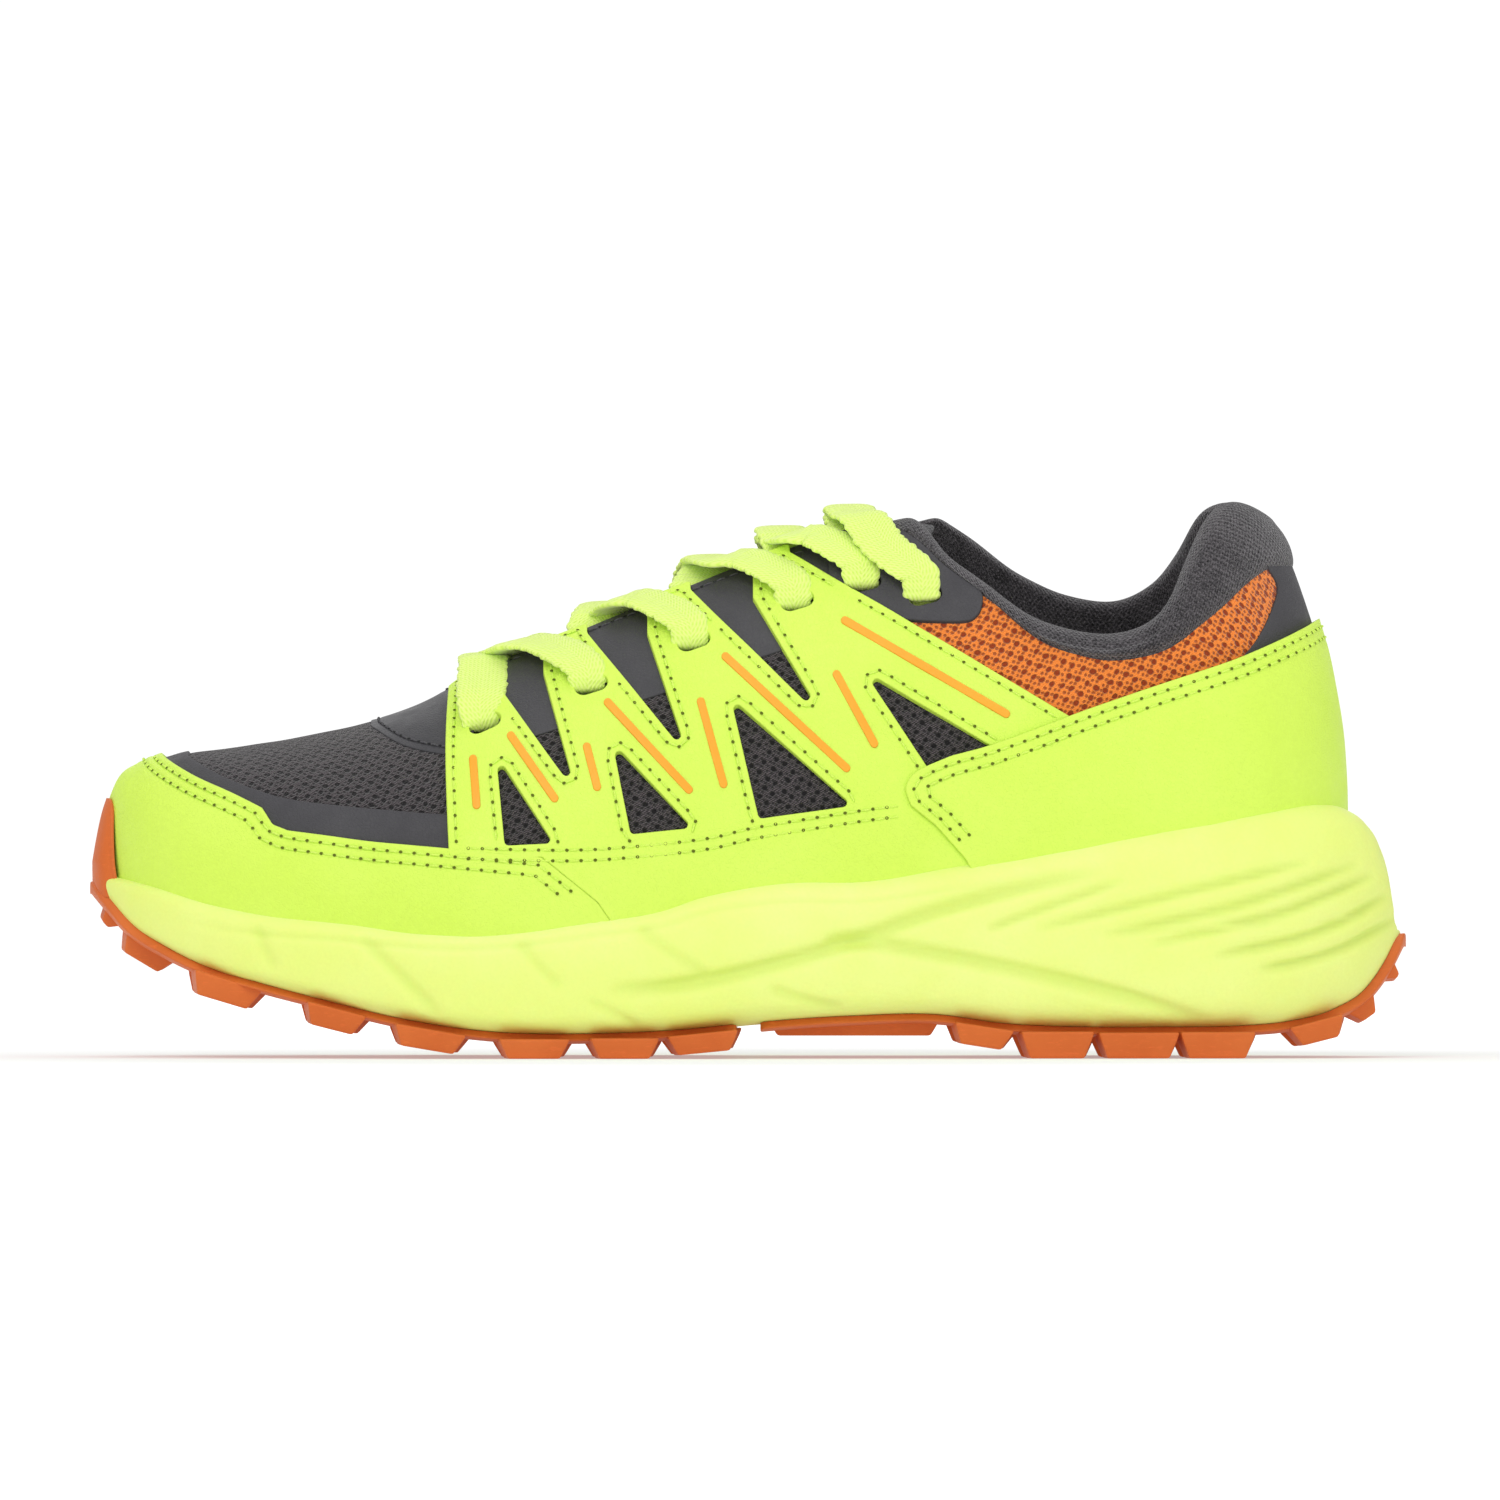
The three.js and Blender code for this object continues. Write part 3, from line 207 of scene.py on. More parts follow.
class Upper(Plan):
    """The arch over the foot: v is degrees down from the ridge, negative on the lateral side."""

    def u_of(self, x):
        x = np.asarray(x, float)
        toe = TOE_ROUND * np.arccos(np.clip((TOE_X + TOE_ROUND - x) / TOE_ROUND, 0, 1))
        heel = HEEL_ROUND * np.arccos(np.clip((x - HEEL_X + HEEL_ROUND) / HEEL_ROUND, 0, 1))
        inside = np.clip(x - TOE_X - TOE_ROUND, 0, self.middle)
        return toe + inside + HEEL_ROUND * np.pi / 2 - heel

    def point(self, u, v, off=0.0):
        x, wide, tip = self.station(u)
        a = np.radians(90 - np.abs(v))
        power = 2 / fullness(x)
        half = (np.where(v < 0, half_lateral(x), half_medial(x)) + off) * wide
        low = base_z(x)
        z = low + (ridge_z(x) - low + off) * np.clip(np.sin(a), 0, 1) ** power
        y = centre(x) + np.sign(v) * half * np.abs(np.cos(a)) ** power
        return np.stack(np.broadcast_arrays(x + off * tip - lean(z, lean_share(x)), y + SHIFT_Y, z), -1)

    def v_at(self, u, z, off, side):
        """The angle at which one side is z high."""
        x = self.station(u)[0]
        low = base_z(x)
        share = np.clip((z - low) / (ridge_z(x) - low + off), 0, 1)
        return side * (90 - np.degrees(np.arcsin(share ** (fullness(x) / 2))))

    def u_side(self, x, z):
        """The station whose leaned wall is at x when it is z high."""
        q = np.asarray(x, float)
        for _ in range(12):
            q = np.minimum(x + lean(z, lean_share(q)), HEEL_X)
        return self.u_of(q)

    def place(self, x, z, side, off=0.0):
        u = self.u_side(x, z)
        return u, self.v_at(u, z, off, side)


upper = Upper(TOE_X, HEEL_X, TOE_ROUND, HEEL_ROUND)

# ---------------------------------------------------------------- the sole's surface

SOLE_X = 138.35
SOLE_TOE_ROUND, SOLE_HEEL_ROUND = 50.0, 46.0
sole_lateral = profile([
    [-137, 43], [-100, 44.5], [-60, 50], [-35, 51], [10, 46], [60, 41.5], [95, 40.5],
    [139, 38]])
sole_medial = profile([
    [-137, 38], [-100, 41], [-62, 47.5], [-35, 47], [10, 40], [60, 38.5], [95, 39],
    [139, 37]])
sole_top = profile([
    [-138, 38.6], [-125, 37.6], [-112, 35], [-101, 33.6], [-86, 32.6], [-63, 30.8], [-53, 31.2],
    [-42, 32.4], [-32, 33.8], [-17, 36], [-10, 38.2], [5, 40.6], [27, 41], [44, 44.2], [54, 46.2], [78, 51],
    [97, 54.4], [112, 55.2], [121, 54.6], [127, 52.6], [131, 49.8], [134, 45.2], [136.2, 38], [137.8, 27]])
sole_bottom = profile([
    [-138, 36.2], [-135, 32.6], [-131, 28], [-123, 22.7], [-115, 18.8], [-102, 14.9], [-89, 11.5],
    [-75, 8.1], [-61, 5.7], [-53, 4.9], [-32, 4.6], [-13, 5.5], [0, 6.8], [22, 8.3], [41, 8.5], [53, 6.8],
    [73, 5.9], [87, 5.9], [105, 6.2], [114, 7], [124.5, 9.8], [131, 14], [135.5, 20.4], [137.8, 25]])


class Sole(Plan):
    """The midsole: v runs from 0 to 1 once round the section, from the medial side over the top."""

    def __init__(self):
        super().__init__(-SOLE_X, SOLE_X, SOLE_TOE_ROUND, SOLE_HEEL_ROUND)
        a = np.linspace(0, 2 * np.pi, 40001)
        y, z = self.section(a)
        run = np.concatenate([[0], np.cumsum(np.hypot(np.diff(y * 44), np.diff(z * 17)))])
        self.table = (run / run[-1], a)

    @staticmethod
    def section(a):
        c, s = np.cos(a), np.sin(a)
        power = 2 / np.where(s > 0, 5.0, 7.0)
        return full(c, power), full(s, power)

    def point(self, u, v, off=0.0):
        x, wide, tip = self.station(u)
        yy, zz = self.section(np.interp(v, *self.table))
        top, bottom = sole_top(x) + off, sole_bottom(x) - off
        mid = bottom + (top - bottom) * 0.45
        half = (np.where(yy < 0, sole_lateral(x), sole_medial(x)) + off) * wide
        z = mid + np.where(zz > 0, top - mid, mid - bottom) * zz
        # the wall draws in towards the top, as a moulded side does
        draw = 1 - 0.045 * np.clip(zz, 0, 1) ** 2
        y = centre(x) + half * yy * draw + SHIFT_Y
        return np.stack(np.broadcast_arrays(x + off * tip, y, z), -1)


sole = Sole()

# ---------------------------------------------------------------- meshes


WELD = 1e-3  # points this near to each other become one


def add_object(name, data):
    obj = bpy.data.objects.new(name, data)
    bpy.context.scene.collection.objects.link(obj)
    return obj


def make_object(name, points, faces, uv=None, values=None):
    """An object from points in millimetres, welded where two coincide."""
    points = np.asarray(points, float)
    _, first, index = np.unique(np.round(points / WELD), axis=0, return_index=True, return_inverse=True)
    index = index.reshape(-1)
    cleaned = []
    for f in faces:
        g = [int(index[i]) for i in f]
        g = [k for j, k in enumerate(g) if k != g[j - 1]]
        if len(set(g)) == len(g) and len(g) > 2:
            cleaned.append(g)
    mesh = bpy.data.meshes.new(name)
    mesh.from_pydata((points[first] * MM).tolist(), [], cleaned)
    mesh.update()
    loops = np.empty(len(mesh.loops), np.int32)
    mesh.loops.foreach_get("vertex_index", loops)
    if uv is not None:
        layer = mesh.uv_layers.new(name="weave")
        layer.data.foreach_set("uv", np.asarray(uv)[first][loops].astype(np.float32).ravel())
    for key, value in (values or {}).items():
        attribute = mesh.attributes.new(key, "FLOAT", "POINT")
        attribute.data.foreach_set("value", np.asarray(value)[first].astype(np.float32))
    mesh.polygons.foreach_set("use_smooth", np.full(len(mesh.polygons), True))
    return add_object(name, mesh)


def face_outward(obj):
    """Turns the faces of a closed mesh outwards."""
    bm = bmesh.new()
    bm.from_mesh(obj.data)
    bmesh.ops.recalc_face_normals(bm, faces=bm.faces[:])
    bm.to_mesh(obj.data)
    bm.free()


def tube_faces(rings, around, start=0):
    """The faces of a closed tube whose rings lie one after the other, with both ends capped."""
    faces = [[start + i * around + j, start + i * around + (j + 1) % around,
              start + (i + 1) * around + (j + 1) % around, start + (i + 1) * around + j]
             for i in range(rings - 1) for j in range(around)]
    last = start + (rings - 1) * around
    return faces + [[start + j for j in range(around)], [last + j for j in range(around)][::-1]]


def run_along(points):
    """The distance travelled up to each point of a line."""
    return np.concatenate([[0], np.cumsum(np.linalg.norm(np.diff(points, axis=0), axis=1))])


def trim_grid(us, vs, d):
    """The part of a grid where d is negative: parameters, faces and the trimmed edge's segments."""
    nu, nv = d.shape
    inside = d < 0
    number = np.full(d.shape, -1)
    number[inside] = np.arange(inside.sum())
    iu, iv = np.nonzero(inside)
    params = list(zip(us[iu], vs[iv]))
    cell = inside[:-1, :-1].astype(int) + inside[1:, :-1] + inside[1:, 1:] + inside[:-1, 1:]
    a, b = np.nonzero(cell == 4)
    faces = np.stack([number[a, b], number[a + 1, b], number[a + 1, b + 1], number[a, b + 1]], -1).tolist()
    cuts, rim = {}, []

    def cut(p, q):
        key = (p, q) if p < q else (q, p)
        if key not in cuts:
            dp, dq = d[key[0]], d[key[1]]
            t = dp / (dp - dq)
            cuts[key] = len(params)
            params.append(tuple(
                grid[key[0][k]] + t * (grid[key[1][k]] - grid[key[0][k]]) for k, grid in enumerate((us, vs))))
        return cuts[key]

    for i, j in zip(*np.nonzero((cell > 0) & (cell < 4))):
        corners = [(i, j), (i + 1, j), (i + 1, j + 1), (i, j + 1)]
        shape, fresh = [], []
        for k, p in enumerate(corners):
            q = corners[(k + 1) % 4]
            if inside[p]:
                shape.append(number[p])
                fresh.append(False)
            if inside[p] != inside[q]:
                shape.append(cut(p, q))
                fresh.append(True)
        for k in range(len(shape)):
            if fresh[k - 1] and fresh[k]:
                rim.append((shape[k - 1], shape[k]))
        faces.append(shape)
    return np.array(params, float).reshape(-1, 2), faces, rim


def steps_out(surface, field, uv, distance):
    """Parameters moved across the surface, square to a field's contour, by a distance in millimetres."""
    e = 0.05
    u, v = uv[:, 0], uv[:, 1]
    pu = (surface.point(u + e, v) - surface.point(u - e, v)) / (2 * e)
    pv = (surface.point(u, v + e) - surface.point(u, v - e)) / (2 * e)
    du = (field(surface.point(u + e, v)) - field(surface.point(u - e, v))) / (2 * e)
    dv = (field(surface.point(u, v + e)) - field(surface.point(u, v - e))) / (2 * e)
    a, b, c = (pu * pu).sum(1), (pu * pv).sum(1), (pv * pv).sum(1)
    det = np.maximum(a * c - b * b, 1e-9)
    gu, gv = (c * du - b * dv) / det, (a * dv - b * du) / det
    size = np.sqrt(np.maximum(du * gu + dv * gv, 1e-9))
    return uv + distance * np.stack([gu / size, gv / size], 1)


def chain(segments):
    """Ordered runs of vertices from loose segments."""
    links = {}
    for a, b in segments:
        links.setdefault(a, []).append(b)
        links.setdefault(b, []).append(a)
    runs, used = [], set()
    starts = [k for k, v in links.items() if len(v) == 1] + list(links)
    for start in starts:
        if start in used:
            continue
        run = [start]
        used.add(start)
        while True:
            following = [k for k in links[run[-1]] if k not in used]
            if not following:
                break
            run.append(following[0])
            used.add(following[0])
        if len(run) > 2 and run[0] in links[run[-1]]:
            run.append(run[0])
        runs.append(run)
    return runs


PANELS = {}


def grid_of(surface, u_range, v_range, step):
    girth = 100.0 if surface is upper else 240.0
    span = 90.0 if surface is upper else 1.0
    us = np.linspace(*u_range, int((u_range[1] - u_range[0]) / step) + 2)
    vs = np.linspace(*v_range, int((v_range[1] - v_range[0]) / span * girth / step) + 2)
    return us, vs


def weave_uv(surface, params):
    """Coordinates in millimetres on the cloth: along the shoe, and round its girth from the ridge."""
    u, v = params[:, 0], params[:, 1]
    if surface is not upper:
        return np.stack([u, v * 240], 1)
    samples = np.linspace(0, 90, 46)
    us = np.linspace(0, upper.length, 120)
    table = []
    for side in (-1, 1):
        p = upper.point(us[:, None], side * samples[None, :])
        run = np.cumsum(np.linalg.norm(np.diff(p, axis=1), axis=2), axis=1)
        table.append(np.concatenate([np.zeros((len(us), 1)), run], 1))
    i = np.clip(np.searchsorted(us, u) - 1, 0, len(us) - 2)
    t = (u - us[i]) / (us[i + 1] - us[i])
    j = np.clip((np.abs(v) / 2).astype(int), 0, 44)
    s = np.abs(v) / 2 - j
    side = (v > 0).astype(int)
    table = np.array(table)
    row = lambda k: table[side, k, j] * (1 - s) + table[side, k, j + 1] * s
    return np.stack([u, (row(i) * (1 - t) + row(i + 1) * t) * np.where(v < 0, -1, 1)], 1)


def panel(name, field, level, step=0.7, surface=None, u_range=None, v_range=(-90, 90), edge=0.3, relief=None):
    """A thin panel where field(point) is negative: its top at level[1], its rounded edge down to level[0]."""
    surface = surface or upper
    us, vs = grid_of(surface, u_range or (0, surface.length), v_range, step)
    d = field(surface.point(us[:, None], vs[None, :])) + edge
    params, faces, rim = trim_grid(us, vs, d)
    ground = surface.point(params[:, 0], params[:, 1])
    depth = -field(ground)
    off = np.full(len(params), float(level[1]))
    if relief:
        off = off + relief(ground, depth)
    points = [surface.point(params[:, 0], params[:, 1], off)]
    uv = [weave_uv(surface, params)]
    edge_shades = [np.zeros(len(params))]
    ends = sorted({k for pair in rim for k in pair})
    at = {k: i for i, k in enumerate(ends)}
    count = len(params)
    drop = level[1] - level[0]
    rings = [  # how far out and down each ring of the rounded edge is, and how much painted shade it takes
        (edge * 0.62, edge * 0.12, 0.3), (edge * 0.93, edge * 0.5, 0.7),
        (edge, edge * 1.1, 1), (edge, drop, 1)]
    previous = {k: k for k in ends}
    for out, down, dark in rings:
        moved = steps_out(surface, field, params[ends], out)
        points.append(surface.point(moved[:, 0], moved[:, 1], off[ends] - min(down, drop)))
        uv.append(uv[0][ends])
        edge_shades.append(np.full(len(ends), dark))
        for a, b in rim:
            faces.append([previous[b], previous[a], count + at[a], count + at[b]])
        previous = {k: count + at[k] for k in ends}
        count += len(ends)
    points = np.vstack(points)
    # faces run anticlockwise seen from outside
    probe = next(f for f in faces if len(f) == 4)
    a, b, c = (points[probe[k]] for k in range(3))
    mid = params[probe[0]]
    outward = surface.point(mid[0], mid[1], 1.0) - surface.point(mid[0], mid[1], 0.0)
    if np.dot(np.cross(b - a, c - a), outward) < 0:
        faces = [f[::-1] for f in faces]
    # the rim value is the amount of painted shade on the rounded cut edge
    obj = make_object(name, points, faces, np.vstack(uv), {"rim": np.concatenate(edge_shades)})
    PANELS[name] = (surface, field, us, vs)
    return obj


# ---------------------------------------------------------------- materials


class Paint:
    """A material that is put together node by node."""

    def __init__(self, name, **shader):
        self.material = bpy.data.materials.new(name)
        self.material.use_nodes = True
        self.tree = self.material.node_tree
        self.shader = next(n for n in self.tree.nodes if n.type == "BSDF_PRINCIPLED")
        for key, value in shader.items():
            self.shader.inputs[key.replace("_", " ")].default_value = value
        self.spot = self.node("ShaderNodeTexCoord").outputs["Object"]

    def node(self, kind, inputs=(), **settings):
        """A node with its settings made first, since they decide which inputs it has."""
        n = self.tree.nodes.new(kind)
        for key, value in settings.items():
            setattr(n, key, value)
        for key, value in dict(inputs).items():
            if isinstance(value, bpy.types.NodeSocket):
                self.tree.links.new(value, n.inputs[key])
            else:
                n.inputs[key].default_value = value
        return n

    def link(self, key, socket):
        self.tree.links.new(socket, self.shader.inputs[key])

    def math(self, operation, a, b=0.0, c=0.0):
        return self.node("ShaderNodeMath", {0: a, 1: b, 2: c}, operation=operation).outputs[0]

    def times(self, a, b):
        return self.math("MULTIPLY", a, b)

    def plus(self, a, b):
        return self.math("ADD", a, b)

    def noise(self, scale, detail=3.0, rough=0.55, stretch=None):
        where = self.spot
        if stretch:
            where = self.node("ShaderNodeMapping", {"Vector": where, "Scale": stretch}).outputs[0]
        settings = {"Vector": where, "Scale": scale, "Detail": detail, "Roughness": rough}
        return self.node("ShaderNodeTexNoise", settings).outputs["Fac"]

    def cells(self, scale, feature="F1"):
        inputs = {"Vector": self.spot, "Scale": scale}
        return self.node("ShaderNodeTexVoronoi", inputs, feature=feature).outputs["Distance"]

    def span(self, value, low, high, to_low=0.0, to_high=1.0):
        n = self.node("ShaderNodeMapRange", {"Value": value, 1: low, 2: high, 3: to_low, 4: to_high})
        n.clamp = True
        return n.outputs[0]

    def mix(self, factor, a, b):
        a, b = (q if isinstance(q, bpy.types.NodeSocket) else (*q, 1.0) for q in (a, b))
        return self.node("ShaderNodeMix", {0: factor, 6: a, 7: b}, data_type="RGBA").outputs[2]

    def bump(self, height, depth, below=None):
        inputs = {"Height": height, "Distance": depth * MM, "Strength": 1.0}
        if below:
            inputs["Normal"] = below
        return self.node("ShaderNodeBump", inputs).outputs[0]

    def weave(self):
        """Cloth coordinates in millimetres, as two sockets."""
        n = self.node("ShaderNodeUVMap", uv_map="weave")
        s = self.node("ShaderNodeSeparateXYZ", {"Vector": n.outputs[0]})
        return s.outputs[0], s.outputs[1]

    def value(self, name):
        return self.node("ShaderNodeAttribute", attribute_name=name).outputs["Fac"]

    def dots(self, u, v, pitch_u, pitch_v, shift_u=0.0, shift_v=0.0, jitter=0.07):
        """Distance in millimetres from the nearest point of a staggered lattice."""
        found = None
        for half in (0.0, 0.5):
            across = self.plus(self.math("DIVIDE", u, pitch_u), half + shift_u)
            down = self.plus(self.math("DIVIDE", v, pitch_v), half + shift_v)
            corner = {0: self.math("FLOOR", across), 1: self.math("FLOOR", down), 2: half}
            cell = self.node("ShaderNodeCombineXYZ", corner)
            stray = self.node("ShaderNodeTexWhiteNoise", {"Vector": cell.outputs[0]}).outputs["Color"]
            stray = self.node("ShaderNodeSeparateXYZ", {"Vector": stray})
            shift_a, shift_b = (self.span(stray.outputs[k], 0, 1, -jitter, jitter) for k in (0, 1))
            a = self.plus(self.math("FRACT", across), shift_a)
            b = self.plus(self.math("FRACT", down), shift_b)
            a = self.times(self.math("SUBTRACT", a, 0.5), pitch_u)
            b = self.times(self.math("SUBTRACT", b, 0.5), pitch_v)
            d = self.math("SQRT", self.plus(self.times(a, a), self.times(b, b)))
            found = self.math("MINIMUM", found, d) if found else d
        return found


def darker(colour, share):
    return tuple(c * share for c in colour)


def synthetic(name, colour, second, grain=0.045, rough=(0.42, 0.58)):
    """A coated synthetic with a fine leather grain, and painted shade that darkens its cut edge."""
    p = Paint(name, Specular_IOR_Level=0.35)
    patch = p.span(p.noise(38, 4), 0.3, 0.7)
    speck = p.span(p.noise(900, 2), 0.3, 0.7)
    tint = p.mix(patch, colour, second)
    tint = p.mix(p.times(speck, 0.10), tint, darker(colour, 0.72))
    # painted shade: the rim value darkens the rounded cut edge, where a thin shadow line falls
    tint = p.mix(p.times(p.value("rim"), 0.45), tint, darker(colour, 0.52))
    p.link("Base Color", tint)
    creases = p.span(p.cells(1150, "DISTANCE_TO_EDGE"), 0.0, 0.16)
    fine = p.bump(p.noise(5200, 2), grain * 0.6)
    p.link("Normal", p.bump(creases, grain, fine))
    p.link("Roughness", p.span(p.noise(240, 3), 0.3, 0.7, *rough))
    return p.material


def knitted_mesh(name, thread, crown_highlight, hole, pitch, radius, small, fleck=(0.2, 0.95)):
    """A spacer mesh: rows of round holes in a looped knit, with smaller holes between them. The holes are
    coloured dark as painted shade, and the loop crowns lighter as painted highlight mixed with fibre fleck.
    """
    p = Paint(name, Sheen_Weight=0.25, Sheen_Roughness=0.5, Specular_IOR_Level=0.25)
    u, v = p.weave()
    wobble = p.times(p.math("SUBTRACT", p.noise(420, 2), 0.5), 0.9)
    slant = p.times(v, 0.22)
    u2, v2 = p.plus(p.plus(u, wobble), slant), p.math("SUBTRACT", v, wobble)
    big = p.dots(u2, v2, *pitch)
    solid = p.span(big, radius * 0.72, radius * 1.15)
    for shift in ((0.24, 0.2), (0.72, 0.24), (0.48, 0.02)):
        minor = p.dots(u2, v2, *pitch, *shift)
        solid = p.times(solid, p.span(minor, small * 0.65, small * 1.25, 0.25, 1))
    loops = p.times(p.math("SINE", p.times(u2, 8.2)),
                   p.math("SINE", p.plus(p.times(v2, 11.5), p.times(u2, 2.1))))
    fibre = p.noise(3600, 3, 0.7)
    yarn = p.plus(p.span(loops, -1, 1, 0, 0.6), p.times(fibre, 0.5))
    # painted highlight: the loop crowns lean to the lighter colour, partly mixed with random fibre fleck
    tint = p.mix(p.span(yarn, *fleck), thread, crown_highlight)
    # painted shade: the holes take the dark hole colour
    p.link("Base Color", p.mix(solid, hole, tint))
    height = p.plus(p.times(solid, 1.0), p.times(yarn, 0.35))
    p.link("Normal", p.bump(height, 0.42))
    p.link("Roughness", p.span(fibre, 0.3, 0.7, 0.7, 0.95))
    return p.material


def heather(name, dark, light, pitch=1.15):
    """A brushed knit in mixed greys, with a fine rib, darkened in the gaps between its loops as painted
    shade.
    """
    p = Paint(name, Sheen_Weight=0.35, Sheen_Roughness=0.45, Specular_IOR_Level=0.2)
    u, v = p.weave()
    fleck = p.span(p.noise(2300, 2, 0.8), 0.4, 0.62)
    patch = p.span(p.noise(160, 3), 0.3, 0.7, 0.0, 0.35)
    loops = p.span(p.dots(u, v, pitch, pitch * 1.2), 0.1, 0.5)
    tint = p.mix(p.times(p.plus(fleck, patch), 0.72), dark, light)
    # painted shade: the gaps between the knit's loops are darkened
    gap_shade = p.times(p.math("SUBTRACT", 1.0, loops), 0.62)
    p.link("Base Color", p.mix(gap_shade, tint, darker(dark, 0.3)))
    p.link("Normal", p.bump(p.plus(loops, p.times(fleck, 0.6)), 0.22))
    p.link("Roughness", p.span(fleck, 0, 1, 0.75, 0.95))
    return p.material


def foam(name, colour, second):
    """Moulded foam with a fine pebbled skin, and painted shade in its moulded grooves."""
    p = Paint(name, Specular_IOR_Level=0.3, Subsurface_Weight=0.12, Subsurface_Scale=0.004)
    patch = p.span(p.noise(26, 4), 0.32, 0.68)
    speck = p.noise(1500, 2)
    # painted shade: the foam is darkened where the moulded grooves are deep
    groove_shade = p.span(p.value("groove"), 0.15, 1.0, 0.0, 0.34)
    tint = p.mix(patch, colour, second)
    tint = p.mix(groove_shade, tint, (colour[0] * 0.62, colour[1] * 0.72, colour[2] * 0.3))
    p.link("Base Color", p.mix(p.span(speck, 0.3, 0.7, 0, 0.08), tint, darker(colour, 0.7)))
    p.link("Normal", p.bump(speck, 0.05, p.bump(p.cells(620), 0.045)))
    p.link("Roughness", p.span(p.noise(120, 3), 0.3, 0.7, 0.44, 0.6))
    return p.material


def rubber(name, colour, second):
    """Moulded rubber, paler where it is scuffed."""
    p = Paint(name, Specular_IOR_Level=0.3)
    patch = p.span(p.noise(55, 4), 0.3, 0.7)
    scuff = p.span(p.noise(300, 4, 0.7, stretch=(1, 1, 4)), 0.56, 0.75, 0, 0.35)
    tint = p.mix(patch, colour, second)
    p.link("Base Color", p.mix(scuff, tint, tuple(min(c * 1.5 + 0.03, 1) for c in colour)))
    p.link("Normal", p.bump(p.noise(1800, 2), 0.05, p.bump(p.cells(420), 0.05)))
    p.link("Roughness", p.span(scuff, 0, 0.35, 0.52, 0.72))
    return p.material


def woven_lace(name, colour, shade, light):
    """A flat tubular braid: chevrons of yarn along the length, deeper at the crossings."""
    p = Paint(name, Sheen_Weight=0.4, Sheen_Roughness=0.4, Specular_IOR_Level=0.2)
    u, v = p.weave()
    slant = p.times(p.math("ABSOLUTE", v), 1.15)
    rib = p.math("SINE", p.times(p.plus(u, slant), 6.6))
    cross = p.math("SINE", p.times(v, 7.6))
    yarn = p.plus(p.span(rib, -1, 1, 0, 0.62), p.span(cross, -1, 1, 0, 0.38))
    fibre = p.noise(3000, 3, 0.7)
    tint = p.mix(p.span(yarn, 0.1, 0.62), shade, colour)
    p.link("Base Color", p.mix(p.span(fibre, 0.5, 0.8, 0, 0.4), tint, light))
    p.link("Normal", p.bump(p.plus(yarn, p.times(fibre, 0.5)), 0.11))
    p.link("Roughness", p.span(fibre, 0.3, 0.7, 0.75, 0.95))
    return p.material


def plain_fibre(name, colour, second, scale=700):
    """Needled board, thread or cut foam: a fibrous surface in two tones."""
    p = Paint(name, Specular_IOR_Level=0.2)
    fibre = p.noise(scale, 4, 0.7, stretch=(1, 3, 1))
    p.link("Base Color", p.mix(p.span(fibre, 0.35, 0.65), colour, second))
    p.link("Normal", p.bump(fibre, 0.08))
    p.link("Roughness", p.span(fibre, 0.3, 0.7, 0.7, 0.95))
    return p.material


YELLOW = (0.67, 0.93, 0.095)
YELLOW_2 = (0.71, 0.96, 0.12)
LOOKS = {
    "yellow": synthetic("neon_synthetic", YELLOW, YELLOW_2),
    "charcoal": synthetic(
        "charcoal_synthetic", (0.05, 0.048, 0.054), (0.064, 0.062, 0.068), rough=(0.5, 0.68)),
    "film": synthetic(
        "charcoal_film", (0.046, 0.045, 0.05), (0.059, 0.057, 0.063), grain=0.03, rough=(0.4, 0.52)),
    # a mesh's colours: yarn, painted highlight on the loop crowns, and painted shade in the holes
    "mesh": knitted_mesh(
        "charcoal_mesh", (0.017, 0.014, 0.016), (0.175, 0.148, 0.156), (0.003, 0.002, 0.003),
        pitch=(2.7, 3.7), radius=0.62, small=0.3, fleck=(0.42, 1.0)),
    "orange_mesh": knitted_mesh(
        "orange_mesh", (0.85, 0.175, 0.016), (0.96, 0.32, 0.06), (0.29, 0.036, 0.0025),
        pitch=(3.3, 3.4), radius=0.63, small=0.31),
    "lining": heather("grey_lining", (0.008, 0.007, 0.009), (0.18, 0.164, 0.176)),
    "tongue": heather("tongue_knit", (0.014, 0.013, 0.015), (0.085, 0.08, 0.087), 1.5),
    "midsole": foam("midsole_foam", (0.82, 0.95, 0.21), (0.87, 0.98, 0.29)),
    "rubber": rubber("orange_rubber", (0.64, 0.13, 0.02), (0.72, 0.165, 0.03)),
    "bar": synthetic("accent_film", (0.97, 0.385, 0.02), (1.0, 0.43, 0.028), grain=0.02, rough=(0.38, 0.5)),
    "lace": woven_lace("woven_lace", (0.8, 0.97, 0.25), (0.66, 0.9, 0.13), (0.9, 0.99, 0.42)),
    "thread": plain_fibre("neon_thread", (0.56, 0.84, 0.05), (0.8, 1.0, 0.22), 4000),
    # needle holes: dark discs of painted shade, olive and black
    "needle": plain_fibre("needle_hole_shade", (0.1, 0.13, 0.01), (0.15, 0.19, 0.016), 2600),
    "black_hole_shade": plain_fibre("black_needle_hole_shade", (0.008, 0.008, 0.01), (0.02, 0.02, 0.022), 2600),
    "dark_thread": plain_fibre("grey_thread", (0.05, 0.05, 0.055), (0.13, 0.125, 0.135), 4000),
    "board": plain_fibre("fibre_board", (0.62, 0.6, 0.54), (0.74, 0.72, 0.66)),
    "footbed": heather("footbed_knit", (0.03, 0.03, 0.034), (0.1, 0.098, 0.105), 1.4),
    "aglet": synthetic("aglet_film", (0.62, 0.72, 0.3), (0.7, 0.8, 0.36), grain=0.01, rough=(0.15, 0.25)),
}


